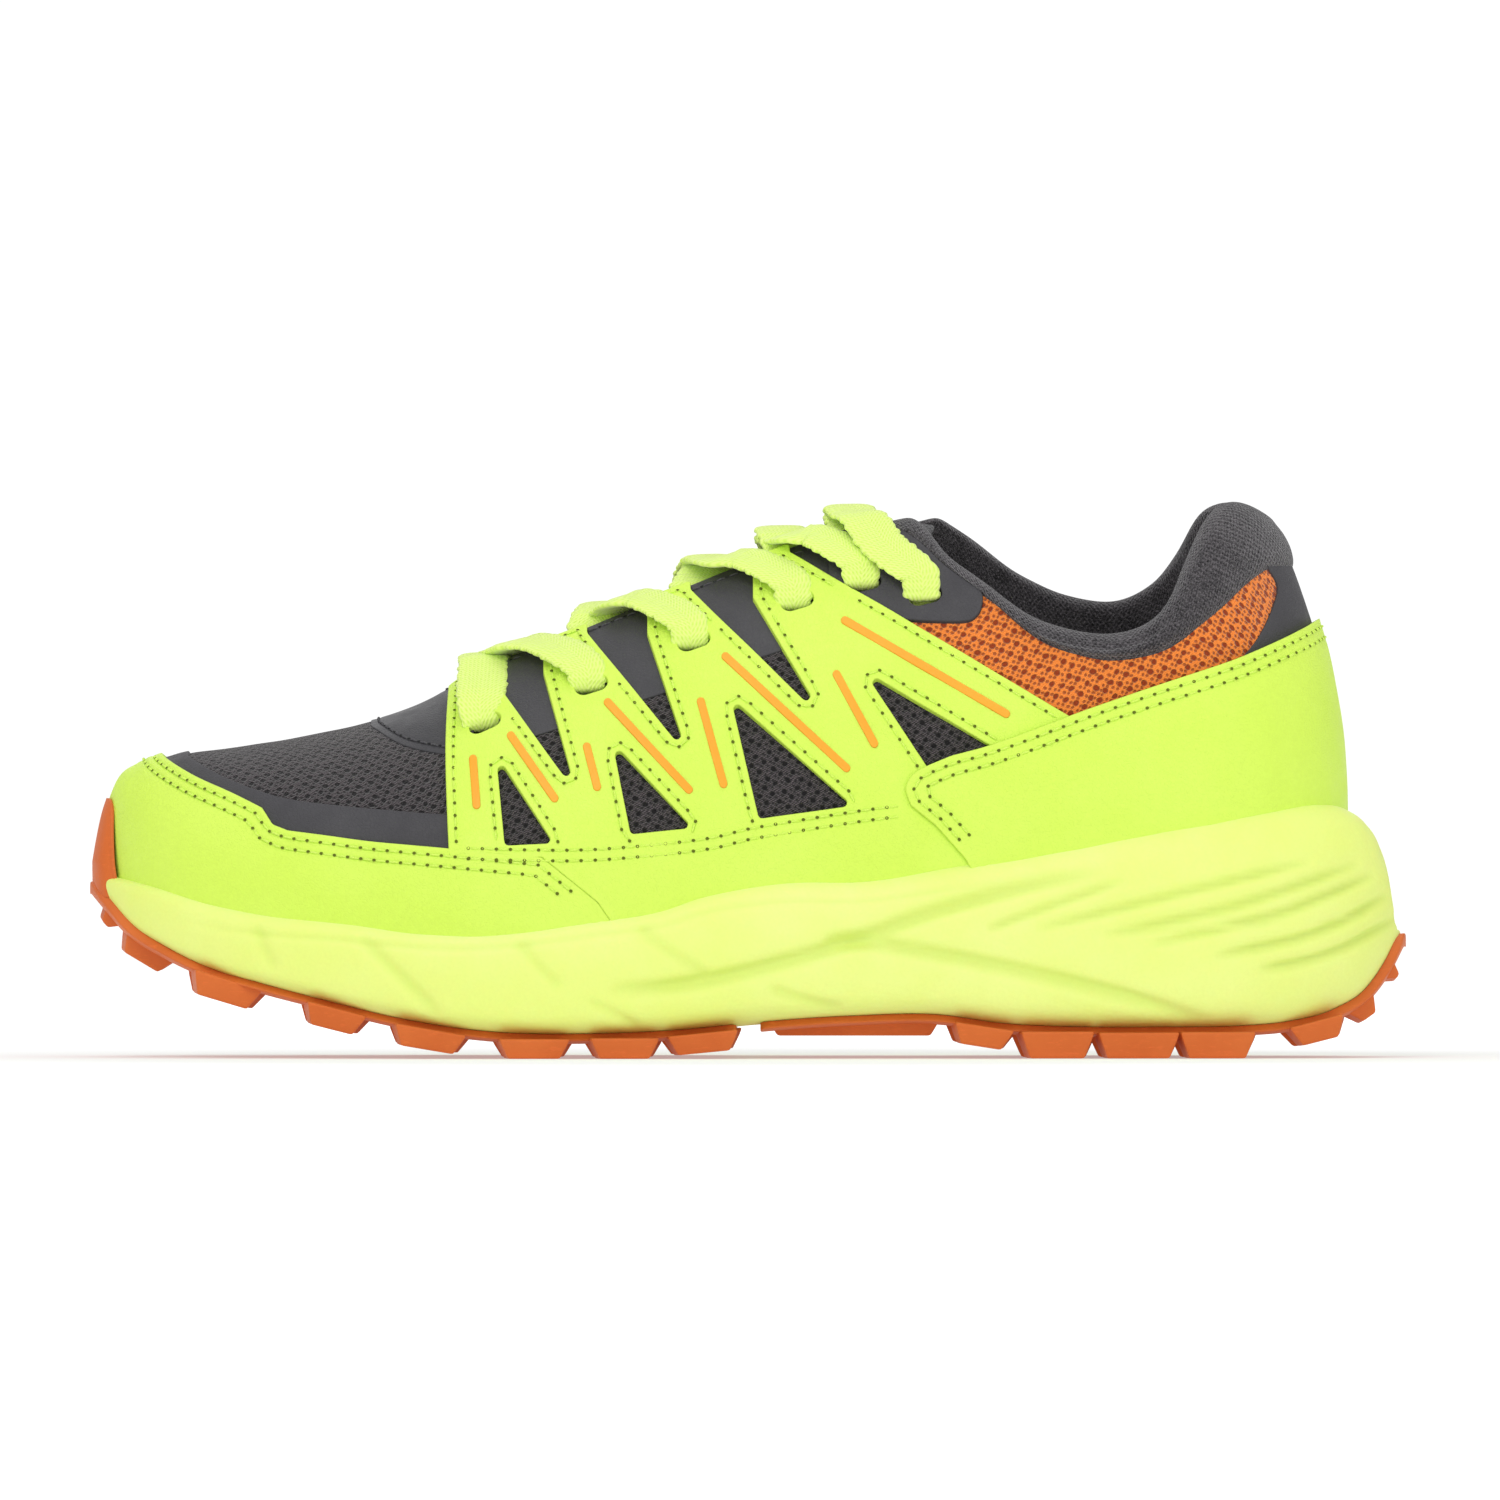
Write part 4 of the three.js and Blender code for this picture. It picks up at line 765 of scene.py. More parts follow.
def finish_piece(obj, look, *nodes, body="shoe"):
    """Gives a piece its material and body, and hides the CAD nodes that it stands for."""
    obj.data.materials.clear()
    obj.data.materials.append(LOOKS[look])
    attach(obj, body)
    if nodes:
        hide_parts(*nodes)


def paint_nodes(look, *nodes):
    """Gives CAD pieces that are carried over their material."""
    for node in nodes:
        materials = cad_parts[node].data.materials
        materials.clear()
        materials.append(LOOKS[look])


# ---------------------------------------------------------------- outlines in side view

TOP, LOW = 160, -20
guard_edge = [[-122.4, 66], [-123.7, 63.4], [-117.3, 59.2], [-109, 55.4], [-102.4, 52.2]]
guard_back = [[-97.1, 47.6], [-80, 45.4], [-62.7, 43.9], [-43.5, 42.2]]
foxing_top = [[43, 63.2], [53.6, 66.2], [74.8, 74], [96, 81.1], [106.7, 85.3], [117.3, 90.6], [124, 95.5]]
foxing_front = [[34.5, 52.9], [33.4, 56.6], [35.8, 60], [43, 63.2]]
band_edge = [
    [49.8, 98.3], [58, 91.1], [67.8, 85.8], [77.6, 84.2], [87.4, 86], [97.1, 92.4], [105, 99.8],
    [109.9, 103.6]]
heel_tab_front = [[109.9, 103.6], [112, 100], [111.3, 95.8], [107.7, 88.5], [102, 81.7], [98, 76]]
collar_lateral = [
    [28, 119], [33.4, 115.5], [37.7, 112.6], [42.6, 106], [52.3, 98.4], [62, 92.6], [74.6, 89.8],
    [83.5, 91.6], [89.6, 97],
    [93.6, 105.1], [98.2, 112.9], [102, 116.6], [106, 118], [110.5, 116], [115.5, 111.5]]
collar_medial = [
    [28, 119], [33.4, 117.4], [38.7, 115.8], [45.1, 111.4], [53.6, 105.2], [60, 101.6], [67.8, 98.2],
    [77.6, 96.8],
    [85.4, 100], [91.8, 106.6], [97.1, 114.2], [101, 117.2], [106, 118], [110.5, 116], [115.5, 111.5]]
film_edge = [[-60, 63.4], [-37, 70.5], [-13.7, 78.5], [9, 86.8]]

SHAPES = {
    "toe_guard": outline(
        (-150, LOW), (-150, 66), guard_edge, (-100.2, 48.8), guard_back, (-31.7, 32.9), (-24, 22),
        (-24, LOW)),
    "toe_strip": outline(
        (-150, LOW), (-150, 66.8), (-118.4, 66.8),
        [[-118.6, 63.6], [-109.6, 58.6], [-97.8, 54.8], [-83.3, 52.9], [-61, 51.2]], (-61, LOW)),
    "saddle": outline([[-80, 70.2], [-73.6, 66.3], [-66, 64.4], [-58, 63.4]], (-58, TOP), (-84, TOP)),
    "vamp": outline((-150, LOW), (-59, LOW), (-59, TOP), (-150, TOP)),
    "quarter": outline(
        (-61, LOW), [[-61, 64.6], [-37, 72], [-13.7, 80], [9, 88]], (27, 90), (66, 66), (82, 56), (82, LOW)),
    "eyestay": outline((-60, TOP), film_edge, (20, 88), (20, TOP)),
    "top_tab": outline(
        (17.2, TOP), (17.2, 86), (27, 87), [[33, 92.3], [45, 91.9], [48.6, 93.2], [49.8, 96], [49.6, 98.5]],
        [[49.6, 98.5], [42, 103.6], [36.8, 108.4], [31.5, 112.5], [28, 117]], (27, TOP)),
    "collar_mesh": outline(
        (31, 93), (22, 88), (66, 62), (80, 52), (80, LOW), (114, LOW), (114, 74), (116, 106), (109.9, 105),
        [[x, z + 2] for x, z in reversed(band_edge)], (49, 94)),
    "heel_tab": outline((98, LOW), heel_tab_front[::-1], (109.9, 106), (150, 114), (150, LOW)),
    "overlay": outline(
        [[-63, 40], [-64, 64], [-63.4, 81]], (-63.4, TOP), (6, TOP), (9, 106), (16.2, 101.9), (31.7, 93.1),
        (72, 69.6), (72, 60), (60, LOW), (-24, LOW), (-24, 22), (-31.7, 32.9), (-43.5, 42.2)),
    "foxing": outline(
        (54, LOW), (54, 28), (46, 42), (39.8, 48.8), foxing_front, foxing_top, (150, 97), (150, LOW)),
}
WINDOWS = [  # corners of the openings: three notches that run up to the throat, then four triangles
    [[-53.5, 78.6], [-53.5, TOP], [-43.3, TOP], [-43.3, 80.7], [-36.2, 55.6]],
    [[-34, 88.9], [-34, TOP], [-21.3, TOP], [-21.3, 88.9], [-12.6, 63.4]],
    [[-12.1, 98.1], [-12.1, TOP], [1.1, TOP], [1.1, 96.4], [16.6, 70.6]],
    [[-53.2, 63.6], [-41.0, 45.1], [-51.3, 44.6]],
    [[-28.6, 66.2], [-11.6, 48.4], [-24.7, 47.0]],
    [[-3.6, 75.6], [22.2, 53.1], [2.4, 50.3]],
    [[24.4, 81.4], [54.4, 63.9], [38.6, 60.3]],
]
BARS = [
    [[-58.1, 62.3], [-57.3, 52.8]], [[-50.1, 67.2], [-40.8, 54.3]], [[-34, 65], [-31.8, 56.7]],
    [[-29.6, 74.2], [-12.4, 56.2]], [[-9.9, 74.5], [-5.1, 57.4]], [[-4.7, 83.9], [20.9, 60.8]],
    [[18.8, 80.3], [26.8, 65.9]], [[20.6, 91.5], [54.7, 72.2]]]
EYELETS = [[-56.4, 71.1], [-33.9, 79.2], [-12.2, 88.5], [9.7, 97], [24, 101.4], [36.8, 98.7]]


def inside_of(key):
    return lambda p: signed_distance(p[..., 0], p[..., 2], SHAPES[key])


def in_throat(p):
    across = np.abs(p[..., 1] - SHIFT_Y - centre(p[..., 0])) - throat_half(p[..., 0])
    return np.maximum(across, THROAT_FROM - p[..., 0])


def eyelet_distance(p, side, radius=2.1, slot=1.5):
    """Distance to the punched lace slots of one side."""
    best = np.full(p.shape[:-1], 1e9)
    for x, z in EYELETS:
        u, v = upper.place(x + 0.8, z - 1.2, side)
        c = upper.point(u, v)
        along = upper.point(u + 1, v) - upper.point(u - 1, v)
        along /= np.linalg.norm(along)
        q = p - c
        t = np.clip(q @ along, -slot, slot)
        best = np.minimum(best, np.linalg.norm(q - t[..., None] * along, axis=-1) - radius)
    return best


# ---------------------------------------------------------------- sewn rows

PITCH = 2.9
THREAD = (  # one stitch: how far along, how high and how thick
    (0.13, -0.2, 0.1), (0.22, -0.04, 0.2), (0.5, 0.05, 0.24), (0.78, -0.04, 0.2), (0.87, -0.2, 0.1))


def contour_rows(name, distance, keep):
    """Rows at a distance inside a panel's edge, as parameter lines on its surface."""
    surface, field, us, vs = PANELS[name]
    d = field(surface.point(us[:, None], vs[None, :])) + distance
    params, _, rim = trim_grid(us, vs, d)
    lines = []
    for run in chain(rim):
        line = params[run]
        where = surface.point(line[:, 0], line[:, 1])
        ok = keep(where)
        start = 0
        for i in range(len(line) + 1):
            if i == len(line) or not ok[i]:
                if i - start > 3:
                    lines.append(line[start:i])
                start = i + 1
    return lines


def side_row(points, side):
    """A row given in side view on one side of the upper."""
    p = smooth_line(points, 12)
    u, v = upper.place(p[:, 0], p[:, 1], side)
    return np.stack([u, v], 1)


def sew(name, lines, off, look="thread", holes="needle"):
    """Threads that dip into a needle hole at each end, one mesh for threads and one for the holes, small dark
    discs of painted shade.
    """
    threads, shaded_pits = [[], []], [[], []]

    def add(store, points, faces):
        start = sum(len(q) for q in store[0])
        store[0].append(points)
        store[1].extend([[start + i for i in f] for f in faces])

    off += 0.07
    for line in lines:
        spots = upper.point(line[:, 0], line[:, 1], off)
        run = run_along(spots)
        count = int(run[-1] / PITCH)
        if count < 2:
            continue
        stops = np.linspace(0, run[-1], count + 1)
        at = lambda s: np.array([np.interp(s, run, line[:, k]) for k in range(2)])
        for a, b in zip(stops[:-1], stops[1:]):
            pa, pb = at(a), at(b)
            start, end = upper.point(*pa, off), upper.point(*pb, off)
            normal = upper.point(*pa, off + 1) - start
            way = end - start
            size = np.linalg.norm(way)
            if size < 0.5:
                continue
            way /= size
            normal -= normal @ way * way
            normal /= np.linalg.norm(normal)
            across = np.cross(way, normal)
            # painted shade: a small dark disc stands for each needle hole
            pit = [start + 0.36 * (np.cos(t) * way * 1.1 + np.sin(t) * across) + 0.03 * normal
                   for t in np.arange(8) * np.pi / 4]
            add(shaded_pits, np.array(pit + [start - 0.1 * normal]), [[i, (i + 1) % 8, 8] for i in range(8)])
            rings = []
            for s, lift, r in THREAD:
                c = start + way * size * s + normal * lift
                turns = np.arange(6) * np.pi / 3
                rings.append([c + r * (np.cos(t) * across * 1.15 + np.sin(t) * normal) for t in turns])
            add(threads, np.array(rings).reshape(-1, 3), tube_faces(len(THREAD), 6)[:-2])
    if threads[0]:
        made = make_object(name, np.vstack(threads[0]), threads[1])
        finish_piece(made, look)
        made = make_object(name + "_holes", np.vstack(shaded_pits[0]), shaded_pits[1])
        finish_piece(made, holes)


# ---------------------------------------------------------------- the panels

MESH_TOP, OVER_TOP, FOXING_TOP = 0.0, 1.5, 2.5
ROW_1, ROW_2, SADDLE_ROW, STAY_ROW = 1.7, 3.9, 1.6, 1.9  # how far inside a panel's edge its sewn rows run
BAR_HALF = 0.85  # half the width of an accent bar
u_at = lambda x: float(upper.u_of(x))


def pucker(rows, depth, width):
    """The furrow that each sewn row pulls into the panel."""
    return lambda ground, inner: -depth * sum(bell((inner - r) / width) for r in rows)


def gentle(ground, amount):
    """Slow unevenness of soft panels over the last."""
    x, y, z = ground[..., 0], ground[..., 1], ground[..., 2]
    broad = np.sin(x * 0.21 + z * 0.13) * np.sin(z * 0.27 - x * 0.06 + 1)
    return amount * (broad + 0.5 * np.sin(x * 0.47 + y * 0.2))


def lay(name, node, look, field, levels, step, u_range, **more):
    """One panel of the upper that stands for a CAD node."""
    finish_piece(panel(name, field, levels, step, u_range=u_range, **more), look, node)


def sewn(rows, depth, width, uneven):
    """Relief of a stitched overlay: a furrow along each row, on slow unevenness."""
    furrows = pucker(rows, depth, width)
    return lambda ground, inner: furrows(ground, inner) + gentle(ground, uneven)


def uneven_by(amount):
    return lambda ground, inner: gentle(ground, amount)


def without(field, *holes):
    """A field less the places where any of the holes' fields is negative."""
    def cut(p):
        d = field(p)
        for hole in holes:
            d = np.maximum(d, -hole(p))
        return d
    return cut


def build_middle_panels():
    """The panels that run across both sides."""
    def saddle_relief(ground, inner):
        return gentle(ground, 0.1) - 0.12 * bell((inner - SADDLE_ROW) / 0.5)

    lay("vamp_mesh_panel", "vamp_mesh", "mesh", without(inside_of("vamp"), in_throat), (-0.9, MESH_TOP), 0.8,
        (0, u_at(-58)), relief=uneven_by(0.1))
    lay("throat_saddle_panel", "throat_saddle", "film", without(inside_of("saddle"), in_throat),
        (-0.3, 0.25), 0.7, (u_at(-86), u_at(-56)), relief=saddle_relief, edge=0.15)
    lay("toe_strip_panel", "toe_strip", "charcoal", inside_of("toe_strip"), (-0.2, 0.5), 0.7,
        (0, u_at(-59)), relief=uneven_by(0.1), edge=0.2)
    lay("toe_guard_panel", "toe_guard", "yellow", inside_of("toe_guard"), (0.1, OVER_TOP), 0.7,
        (0, u_at(-22)), relief=sewn((ROW_1, ROW_2), 0.16, 0.55, 0.08))
    lay("heel_tab_panel", "heel_tab", "charcoal", inside_of("heel_tab"), (-0.4, 0.6), 0.7,
        (u_at(92), upper.length), relief=uneven_by(0.1))


def build_side_panels(word, side):
    """The panels of one side."""
    half = (-90, 0) if side < 0 else (0, 90)
    slots = lambda p: eyelet_distance(p, side)

    def ears(p):
        """The overlay's front corners, which stand clear of the ridge."""
        off_ridge = np.abs(p[..., 1] - SHIFT_Y - centre(p[..., 0])) - 8
        return np.maximum(off_ridge, p[..., 0] + 58)

    lay(f"quarter_mesh_{word}_panel", f"quarter_mesh_{word}", "mesh", inside_of("quarter"),
        (-0.9, MESH_TOP), 0.8, (u_at(-62), u_at(84)), v_range=half, relief=uneven_by(0.1))
    lay(f"eyestay_{word}_panel", f"eyestay_{word}", "film", without(inside_of("eyestay"), in_throat, slots),
        (-0.9, 0.35), 0.6, (u_at(-61), u_at(22)), v_range=half, relief=uneven_by(0.1))
    lay(f"top_tab_{word}_panel", f"top_eyelet_tab_{word}", "charcoal",
        without(inside_of("top_tab"), in_throat, slots), (-0.8, 0.95), 0.6, (u_at(15), u_at(52)),
        v_range=half, relief=uneven_by(0.1))
    lay(f"collar_mesh_{word}_panel", f"collar_mesh_{word}", "orange_mesh", inside_of("collar_mesh"),
        (-0.9, 0.1), 0.8, (u_at(20), upper.length - 2), v_range=half, relief=uneven_by(0.15))
    windows = [lambda p, w=w: rounded_distance(p[..., 0], p[..., 2], w, 0.9) for w in WINDOWS]
    lay(f"quarter_overlay_{word}_panel", f"quarter_overlay_{word}", "yellow",
        without(inside_of("overlay"), in_throat, *windows, ears, slots), (0.1, OVER_TOP), 0.6,
        (u_at(-66), u_at(74)), v_range=half, relief=sewn((ROW_1,), 0.14, 0.5, 0.07))
    for i, line in enumerate(BARS):
        bar = lambda p, q=np.array(line): line_distance(p[..., 0], p[..., 2], q)[0] - BAR_HALF
        low, high = sorted(x for x, _ in line)
        lay(f"accent_bar_{word}_{i + 1}_strip", f"accent_bar_{word}_{i + 1}", "bar", bar,
            (OVER_TOP - 0.1, OVER_TOP + 0.3), 0.3, (u_at(low - 3), u_at(high + 3)), v_range=half, edge=0.2)


def build_panels():
    build_middle_panels()
    build_side_panels("lateral", -1)
    build_side_panels("medial", 1)
    lay("heel_foxing_panel", "heel_foxing", "yellow", inside_of("foxing"), (0.1, FOXING_TOP), 0.7,
        (u_at(28), upper.length), relief=sewn((ROW_1, ROW_2), 0.16, 0.55, 0.08))


LOWER_SEAM = [[-59, 43.9], [-38.2, 43.6], [-23.9, 44.4], [-8, 46.2], [1.6, 48.4], [22.8, 51.8], [32.4, 53]]


def build_stitching():
    above_sole = lambda p, gap: p[:, 2] > sole_top(p[:, 0]) + gap
    for row in (ROW_1, ROW_2):
        guard = contour_rows("toe_guard_panel", row, lambda p: above_sole(p, 2) & (p[:, 2] < 62.4))
        sew(f"toe_guard_stitches_{row:.0f}", guard, OVER_TOP)
        foxing = contour_rows("heel_foxing_panel", row, lambda p: above_sole(p, 1.5))
        sew(f"foxing_stitches_{row:.0f}", foxing, FOXING_TOP)
    seam = np.array(LOWER_SEAM)
    for side, word in ((-1, "lateral"), (1, "medial")):
        clear_of_slots = lambda p, gap: eyelet_distance(p, side) > gap

        def on_overlay(p):
            above_seam = p[:, 2] > np.interp(p[:, 0], seam[:, 0], seam[:, 1]) + 1.2
            return above_seam & (inside_of("foxing")(p) > 0.5) & clear_of_slots(p, 2.6)

        def on_stay(p):
            return (in_throat(p) < 2.6) & (p[:, 0] > -58) & (p[:, 0] < 18) & clear_of_slots(p, 1.5)

        overlay = contour_rows(f"quarter_overlay_{word}_panel", ROW_1, on_overlay)
        sew("overlay_stitches_" + word, overlay, OVER_TOP)
        lower = [side_row([[x, z - drop] for x, z in LOWER_SEAM], side) for drop in (0, 2.2)]
        sew("lower_stitches_" + word, lower, OVER_TOP)
        sew("eyestay_stitches_" + word, contour_rows(f"eyestay_{word}_panel", STAY_ROW, on_stay), 0.35,
            "dark_thread", "black_hole_shade")
    saddle = contour_rows("throat_saddle_panel", SADDLE_ROW, lambda p: p[:, 2] > 60)
    sew("saddle_stitches", saddle, 0.25, "dark_thread", "black_hole_shade")


# ---------------------------------------------------------------- sole

SWEEPS = [  # moulded lines in the wall: points, half width, depth
    ([[-30, 14.6], [-18.6, 15.1], [-8.4, 16.6], [8, 20.6], [23.7, 25.4], [39, 31], [59.5, 36.7],
    [76, 39.6]], 1.7, 1.5),
    ([[4.1, 15.1], [12, 12.4], [20.5, 10.4]], 1.4, 0.7),
    ([[16, 24.6], [23.7, 24.8], [47.2, 20.8], [74, 14.6], [98, 7.6]], 1.7, 1.2),
    ([[50, 27], [62, 31.6], [80, 38]], 1.1, 1.0),
    ([[60, 27], [84.4, 33.3], [100, 37.2], [120, 42]], 1.1, 1.2),
    ([[74, 25.6], [99.7, 31.4], [113, 35.4], [130, 41.4]], 1.1, 1.3),
    ([[84, 23.6], [110.1, 29.9], [121, 33.8], [133, 39]], 1.1, 1.3),
    ([[98, 21.4], [114, 24.6], [125.6, 28.6], [136, 35]], 1.1, 1.3),
    ([[108, 18.6], [118, 20.4], [127.5, 23.8], [138, 30]], 1.1, 1.2),
    ([[-103.9, 28.6], [-102.5, 24], [-99.6, 18.6]], 1.5, 0.5),
    ([[-82, 26], [-73.6, 17.8], [-64.6, 8.8]], 1.6, 0.7),
    ([[-48.6, 25.1], [-44.4, 20], [-39, 14.6]], 1.5, 0.55),
    ([[-23.1, 27.9], [-16, 22.4], [-8, 17.6]], 1.6, 0.6),
    ([[-34, 12.2], [-27.6, 9.2], [-22, 5.8]], 1.3, 0.5),
]


def wall_relief(p):
    """How deep the moulded lines are at a point of the sole's wall, and how far the wall swells out."""
    x, z = p[..., 0], p[..., 2]
    top, bottom = sole_top(x), sole_bottom(x)
    depth = np.zeros(x.shape)
    for points, width, deep in SWEEPS:
        d, along = line_distance(x, z, smooth_line(points, 5))
        fade = np.clip(np.minimum(along, 1 - along) * 5, 0, 1) ** 0.7
        depth += deep * fade * bell(d / width)
    band = bell((z - (top - 7.5 - 3 * ramp(x, 30, 80))) / 0.8) * 0.45
    band = band * ramp(x, -125, 20) * np.clip((60 - x) / 20, 0, 1)
    share = (z - bottom) / np.maximum(top - bottom, 1)
    swell = 0.9 * np.sin(np.clip(share, 0, 1) * np.pi) * (0.5 + 0.5 * np.sin(x * 0.045 + 0.6))
    return depth + band, swell


def build_midsole():
    us = np.linspace(0, sole.length, 620)
    vs = np.linspace(0, 1, 330)
    p = sole.point(us[:, None], vs[None, :])
    depth, swell = wall_relief(p)
    _, zz = sole.section(np.interp(vs, *sole.table))
    wall = np.clip(1.15 - np.abs(zz) ** 6, 0, 1)[None, :]
    low = np.clip((p[..., 2] - sole_bottom(p[..., 0]) - 0.8) / 2, 0, 1)
    off = wall * (swell * 0.6 - depth * low)
    points = sole.point(us[:, None], vs[None, :], off)
    nu, nv = points.shape[:2]
    # the foot sits down into the sole: the top dishes to the strobel level
    x = points[..., 0]
    foot = half_lateral(x) * upper.station(upper.u_of(x))[1] + 2.5
    inner = 1 - np.abs(points[..., 1] - SHIFT_Y - centre(x)) / foot
    under_foot = np.clip(np.minimum((HEEL_X + 2.9 - x) / 0.8, x - TOE_X + 3), 0, 1)
    sink = np.clip(inner * 9, 0, 1) * (zz > 0.97)[None, :] * under_foot
    points[..., 2] -= sink * np.clip(points[..., 2] - base_z(x) + 1.2, 0, None)
    i, j = np.meshgrid(np.arange(nu - 1), np.arange(nv - 1), indexing="ij")
    f = np.stack([i * nv + j, i * nv + j + 1, (i + 1) * nv + j + 1, (i + 1) * nv + j], -1).reshape(-1, 4)
    uu, vv = np.meshgrid(us, vs, indexing="ij")
    uv = np.stack([uu, vv * 240], -1).reshape(-1, 2)
    # the groove value is the groove depth, which the foam darkens as painted shade
    obj = make_object("midsole_body", points.reshape(-1, 3), f.tolist(), uv,
                      {"groove": np.clip(depth * wall, 0, 1).ravel()})
    finish_piece(obj, "midsole", "midsole")


def block(bm, x, y, length, width, root, down, turn=0.0, taper=2.0, slope=0.0):
    """One tread lug: a block that narrows towards its tip."""
    yaw = np.radians(turn)
    t = np.array([np.cos(yaw) * np.cos(slope), np.sin(yaw), np.cos(yaw) * np.sin(slope)])
    n = np.array([np.sin(slope), 0, -np.cos(slope)])
    s = np.cross(n, t)
    c = np.array([x, y, sole_bottom(x)])
    verts = []
    for deep, cut in ((root, 0.0), (root + (down - root) * 0.35, taper * 0.3), (down, taper)):
        for a, b in ((-1, -1), (1, -1), (1, 1), (-1, 1)):
            q = c + n * deep + t * a * (length / 2 - cut) + s * b * (width / 2 - cut * 0.8)
            verts.append(bm.verts.new(q * MM))
    for k in (0, 4):
        for j in range(4):
            m = (j + 1) % 4
            bm.faces.new([verts[k + j], verts[k + m], verts[k + 4 + m], verts[k + 4 + j]])
    bm.faces.new(verts[8:12])
    bm.faces.new(verts[3::-1])


SHEET_OFF = 1.6  # the rubber sheet's outer face below the midsole
NARROW, LUG_INSET = 28, 8.4  # a sole half this narrow has one lug a side; how far in the outer lugs stand
# rows of lugs: place, length and height, where 0 stands on the ground
FORE_LUGS = [
    (-133.8, 6, 2.4), (-126.6, 12.3, 3.4), (-110.2, 15, 3.7), (-87.2, 13, 3.4), (-67.4, 15.2, 3.2),
    (-45.6, 15, 0), (-26.5, 14.6, 0), (-10.1, 15, 3.0)]
HEEL_LUGS = [
    (49.6, 12.6, 3.2), (65, 15.6, 0), (82.2, 17.2, 0), (98.9, 16, 0), (119.7, 11.8, 3.2), (128.8, 7.4, 3),
    (134.6, 5.2, 2.2)]


def lug_spots(x):
    """Where a row's lugs stand across the sole: place, width and turn."""
    past_toe = (-SOLE_X + SOLE_TOE_ROUND - x) / SOLE_TOE_ROUND
    past_heel = (x - SOLE_X + SOLE_HEEL_ROUND) / SOLE_HEEL_ROUND
    wide = np.sin(np.arccos(min(max(past_toe, past_heel, 0), 1))) ** END_SHAPE
    lateral, medial = float(sole_lateral(x)) * wide, float(sole_medial(x)) * wide
    if min(lateral, medial) < NARROW:
        return [(-lateral * 0.5, min(lateral * 0.62, 13), 6), (medial * 0.5, min(medial * 0.62, 13), -6)]
    return [(-lateral + LUG_INSET, 15, 5), (medial - LUG_INSET, 15, -5), (-6.5, 12, -20), (6.5, 12, 20)]


def build_outsole():
    edge = lambda p: p[..., 2] - (sole_bottom(p[..., 0]) + 1.1)
    for word, low, high, lugs in (("forefoot", -150, -2.4, FORE_LUGS), ("heel", 2.7, 150, HEEL_LUGS)):
        field = lambda p, a=low, b=high: np.maximum(edge(p), np.maximum(a - p[..., 0], p[..., 0] - b))
        u_of = lambda x: float(sole.toe_turn + (x + SOLE_X - SOLE_TOE_ROUND))
        span = (0, u_of(high + 1)) if word == "forefoot" else (u_of(low - 1), sole.length)
        sheet = panel("outsole_" + word + "_sheet", field, (0.1, SHEET_OFF), 1.6, surface=sole, u_range=span,
                      v_range=(0, 1), edge=0.4)
        bm = bmesh.new()
        for x, length, height in lugs:
            mid = float(centre(x)) + SHIFT_Y
            slope = float(np.arctan((sole_bottom(x + 2) - sole_bottom(x - 2)) / 4)) if height else 0.0
            down = height + SHEET_OFF if height else float(sole_bottom(x))
            for y, width, turn in lug_spots(x):
                block(bm, x, mid + y, length, width, 0.4, down, turn, slope=slope)
        if word == "heel":
            block(bm, 22.5, float(centre(20)) + SHIFT_Y, 36, 62, 0.4, 3.6, taper=1.8)
        mesh = bpy.data.meshes.new("lugs_" + word)
        bmesh.ops.bevel(bm, geom=bm.edges[:], offset=0.55 * MM, segments=2, affect="EDGES", profile=0.6)
        bmesh.ops.recalc_face_normals(bm, faces=bm.faces[:])
        bm.to_mesh(mesh)
        bm.free()
        mesh.polygons.foreach_set("use_smooth", np.full(len(mesh.polygons), False))
        finish_piece(sheet, "rubber", "outsole_" + word)
        finish_piece(add_object("lugs_" + word, mesh), "rubber")

    build_toe_bumper()


def build_toe_bumper():
    """The rubber cap that climbs the toe: it widens and thickens towards the sole."""
    top, bottom, middle_y, half_at_top, round_by = 53.2, 30, 10.5, 8.5, 4

    def cap(p):
        half = half_at_top + 0.5 * np.clip(53 - p[..., 2], 0, 20)
        y = np.abs(p[..., 1] - SHIFT_Y - middle_y) - half
        z = np.maximum(p[..., 2] - top, bottom - p[..., 2])
        corner = np.hypot(np.maximum(y + round_by, 0), np.maximum(z + round_by, 0)) - round_by
        return np.where((y > -round_by) & (z > -round_by), corner, np.maximum(y, z))

    def swell(ground, inner):
        low = np.clip((53 - ground[..., 2]) / 13, 0, 1)
        return (0.5 + 2.6 * low) * (1 - np.exp(-np.clip(inner, 0, None) / 1.8))

    finish_piece(panel("toe_bumper", cap, (1.3, 2.0), 0.6, u_range=(0, 40), edge=0.6, relief=swell), "rubber")


# ---------------------------------------------------------------- collar and tongue


CLOTH = {
    "quality": 6, "mass": 0.25, "tension_stiffness": 18, "compression_stiffness": 18, "shear_stiffness": 8,
    "bending_stiffness": 1.2, "use_pressure": True, "vertex_group_mass": "seams",
}
FRAMES = 16  # how long the covers are inflated for


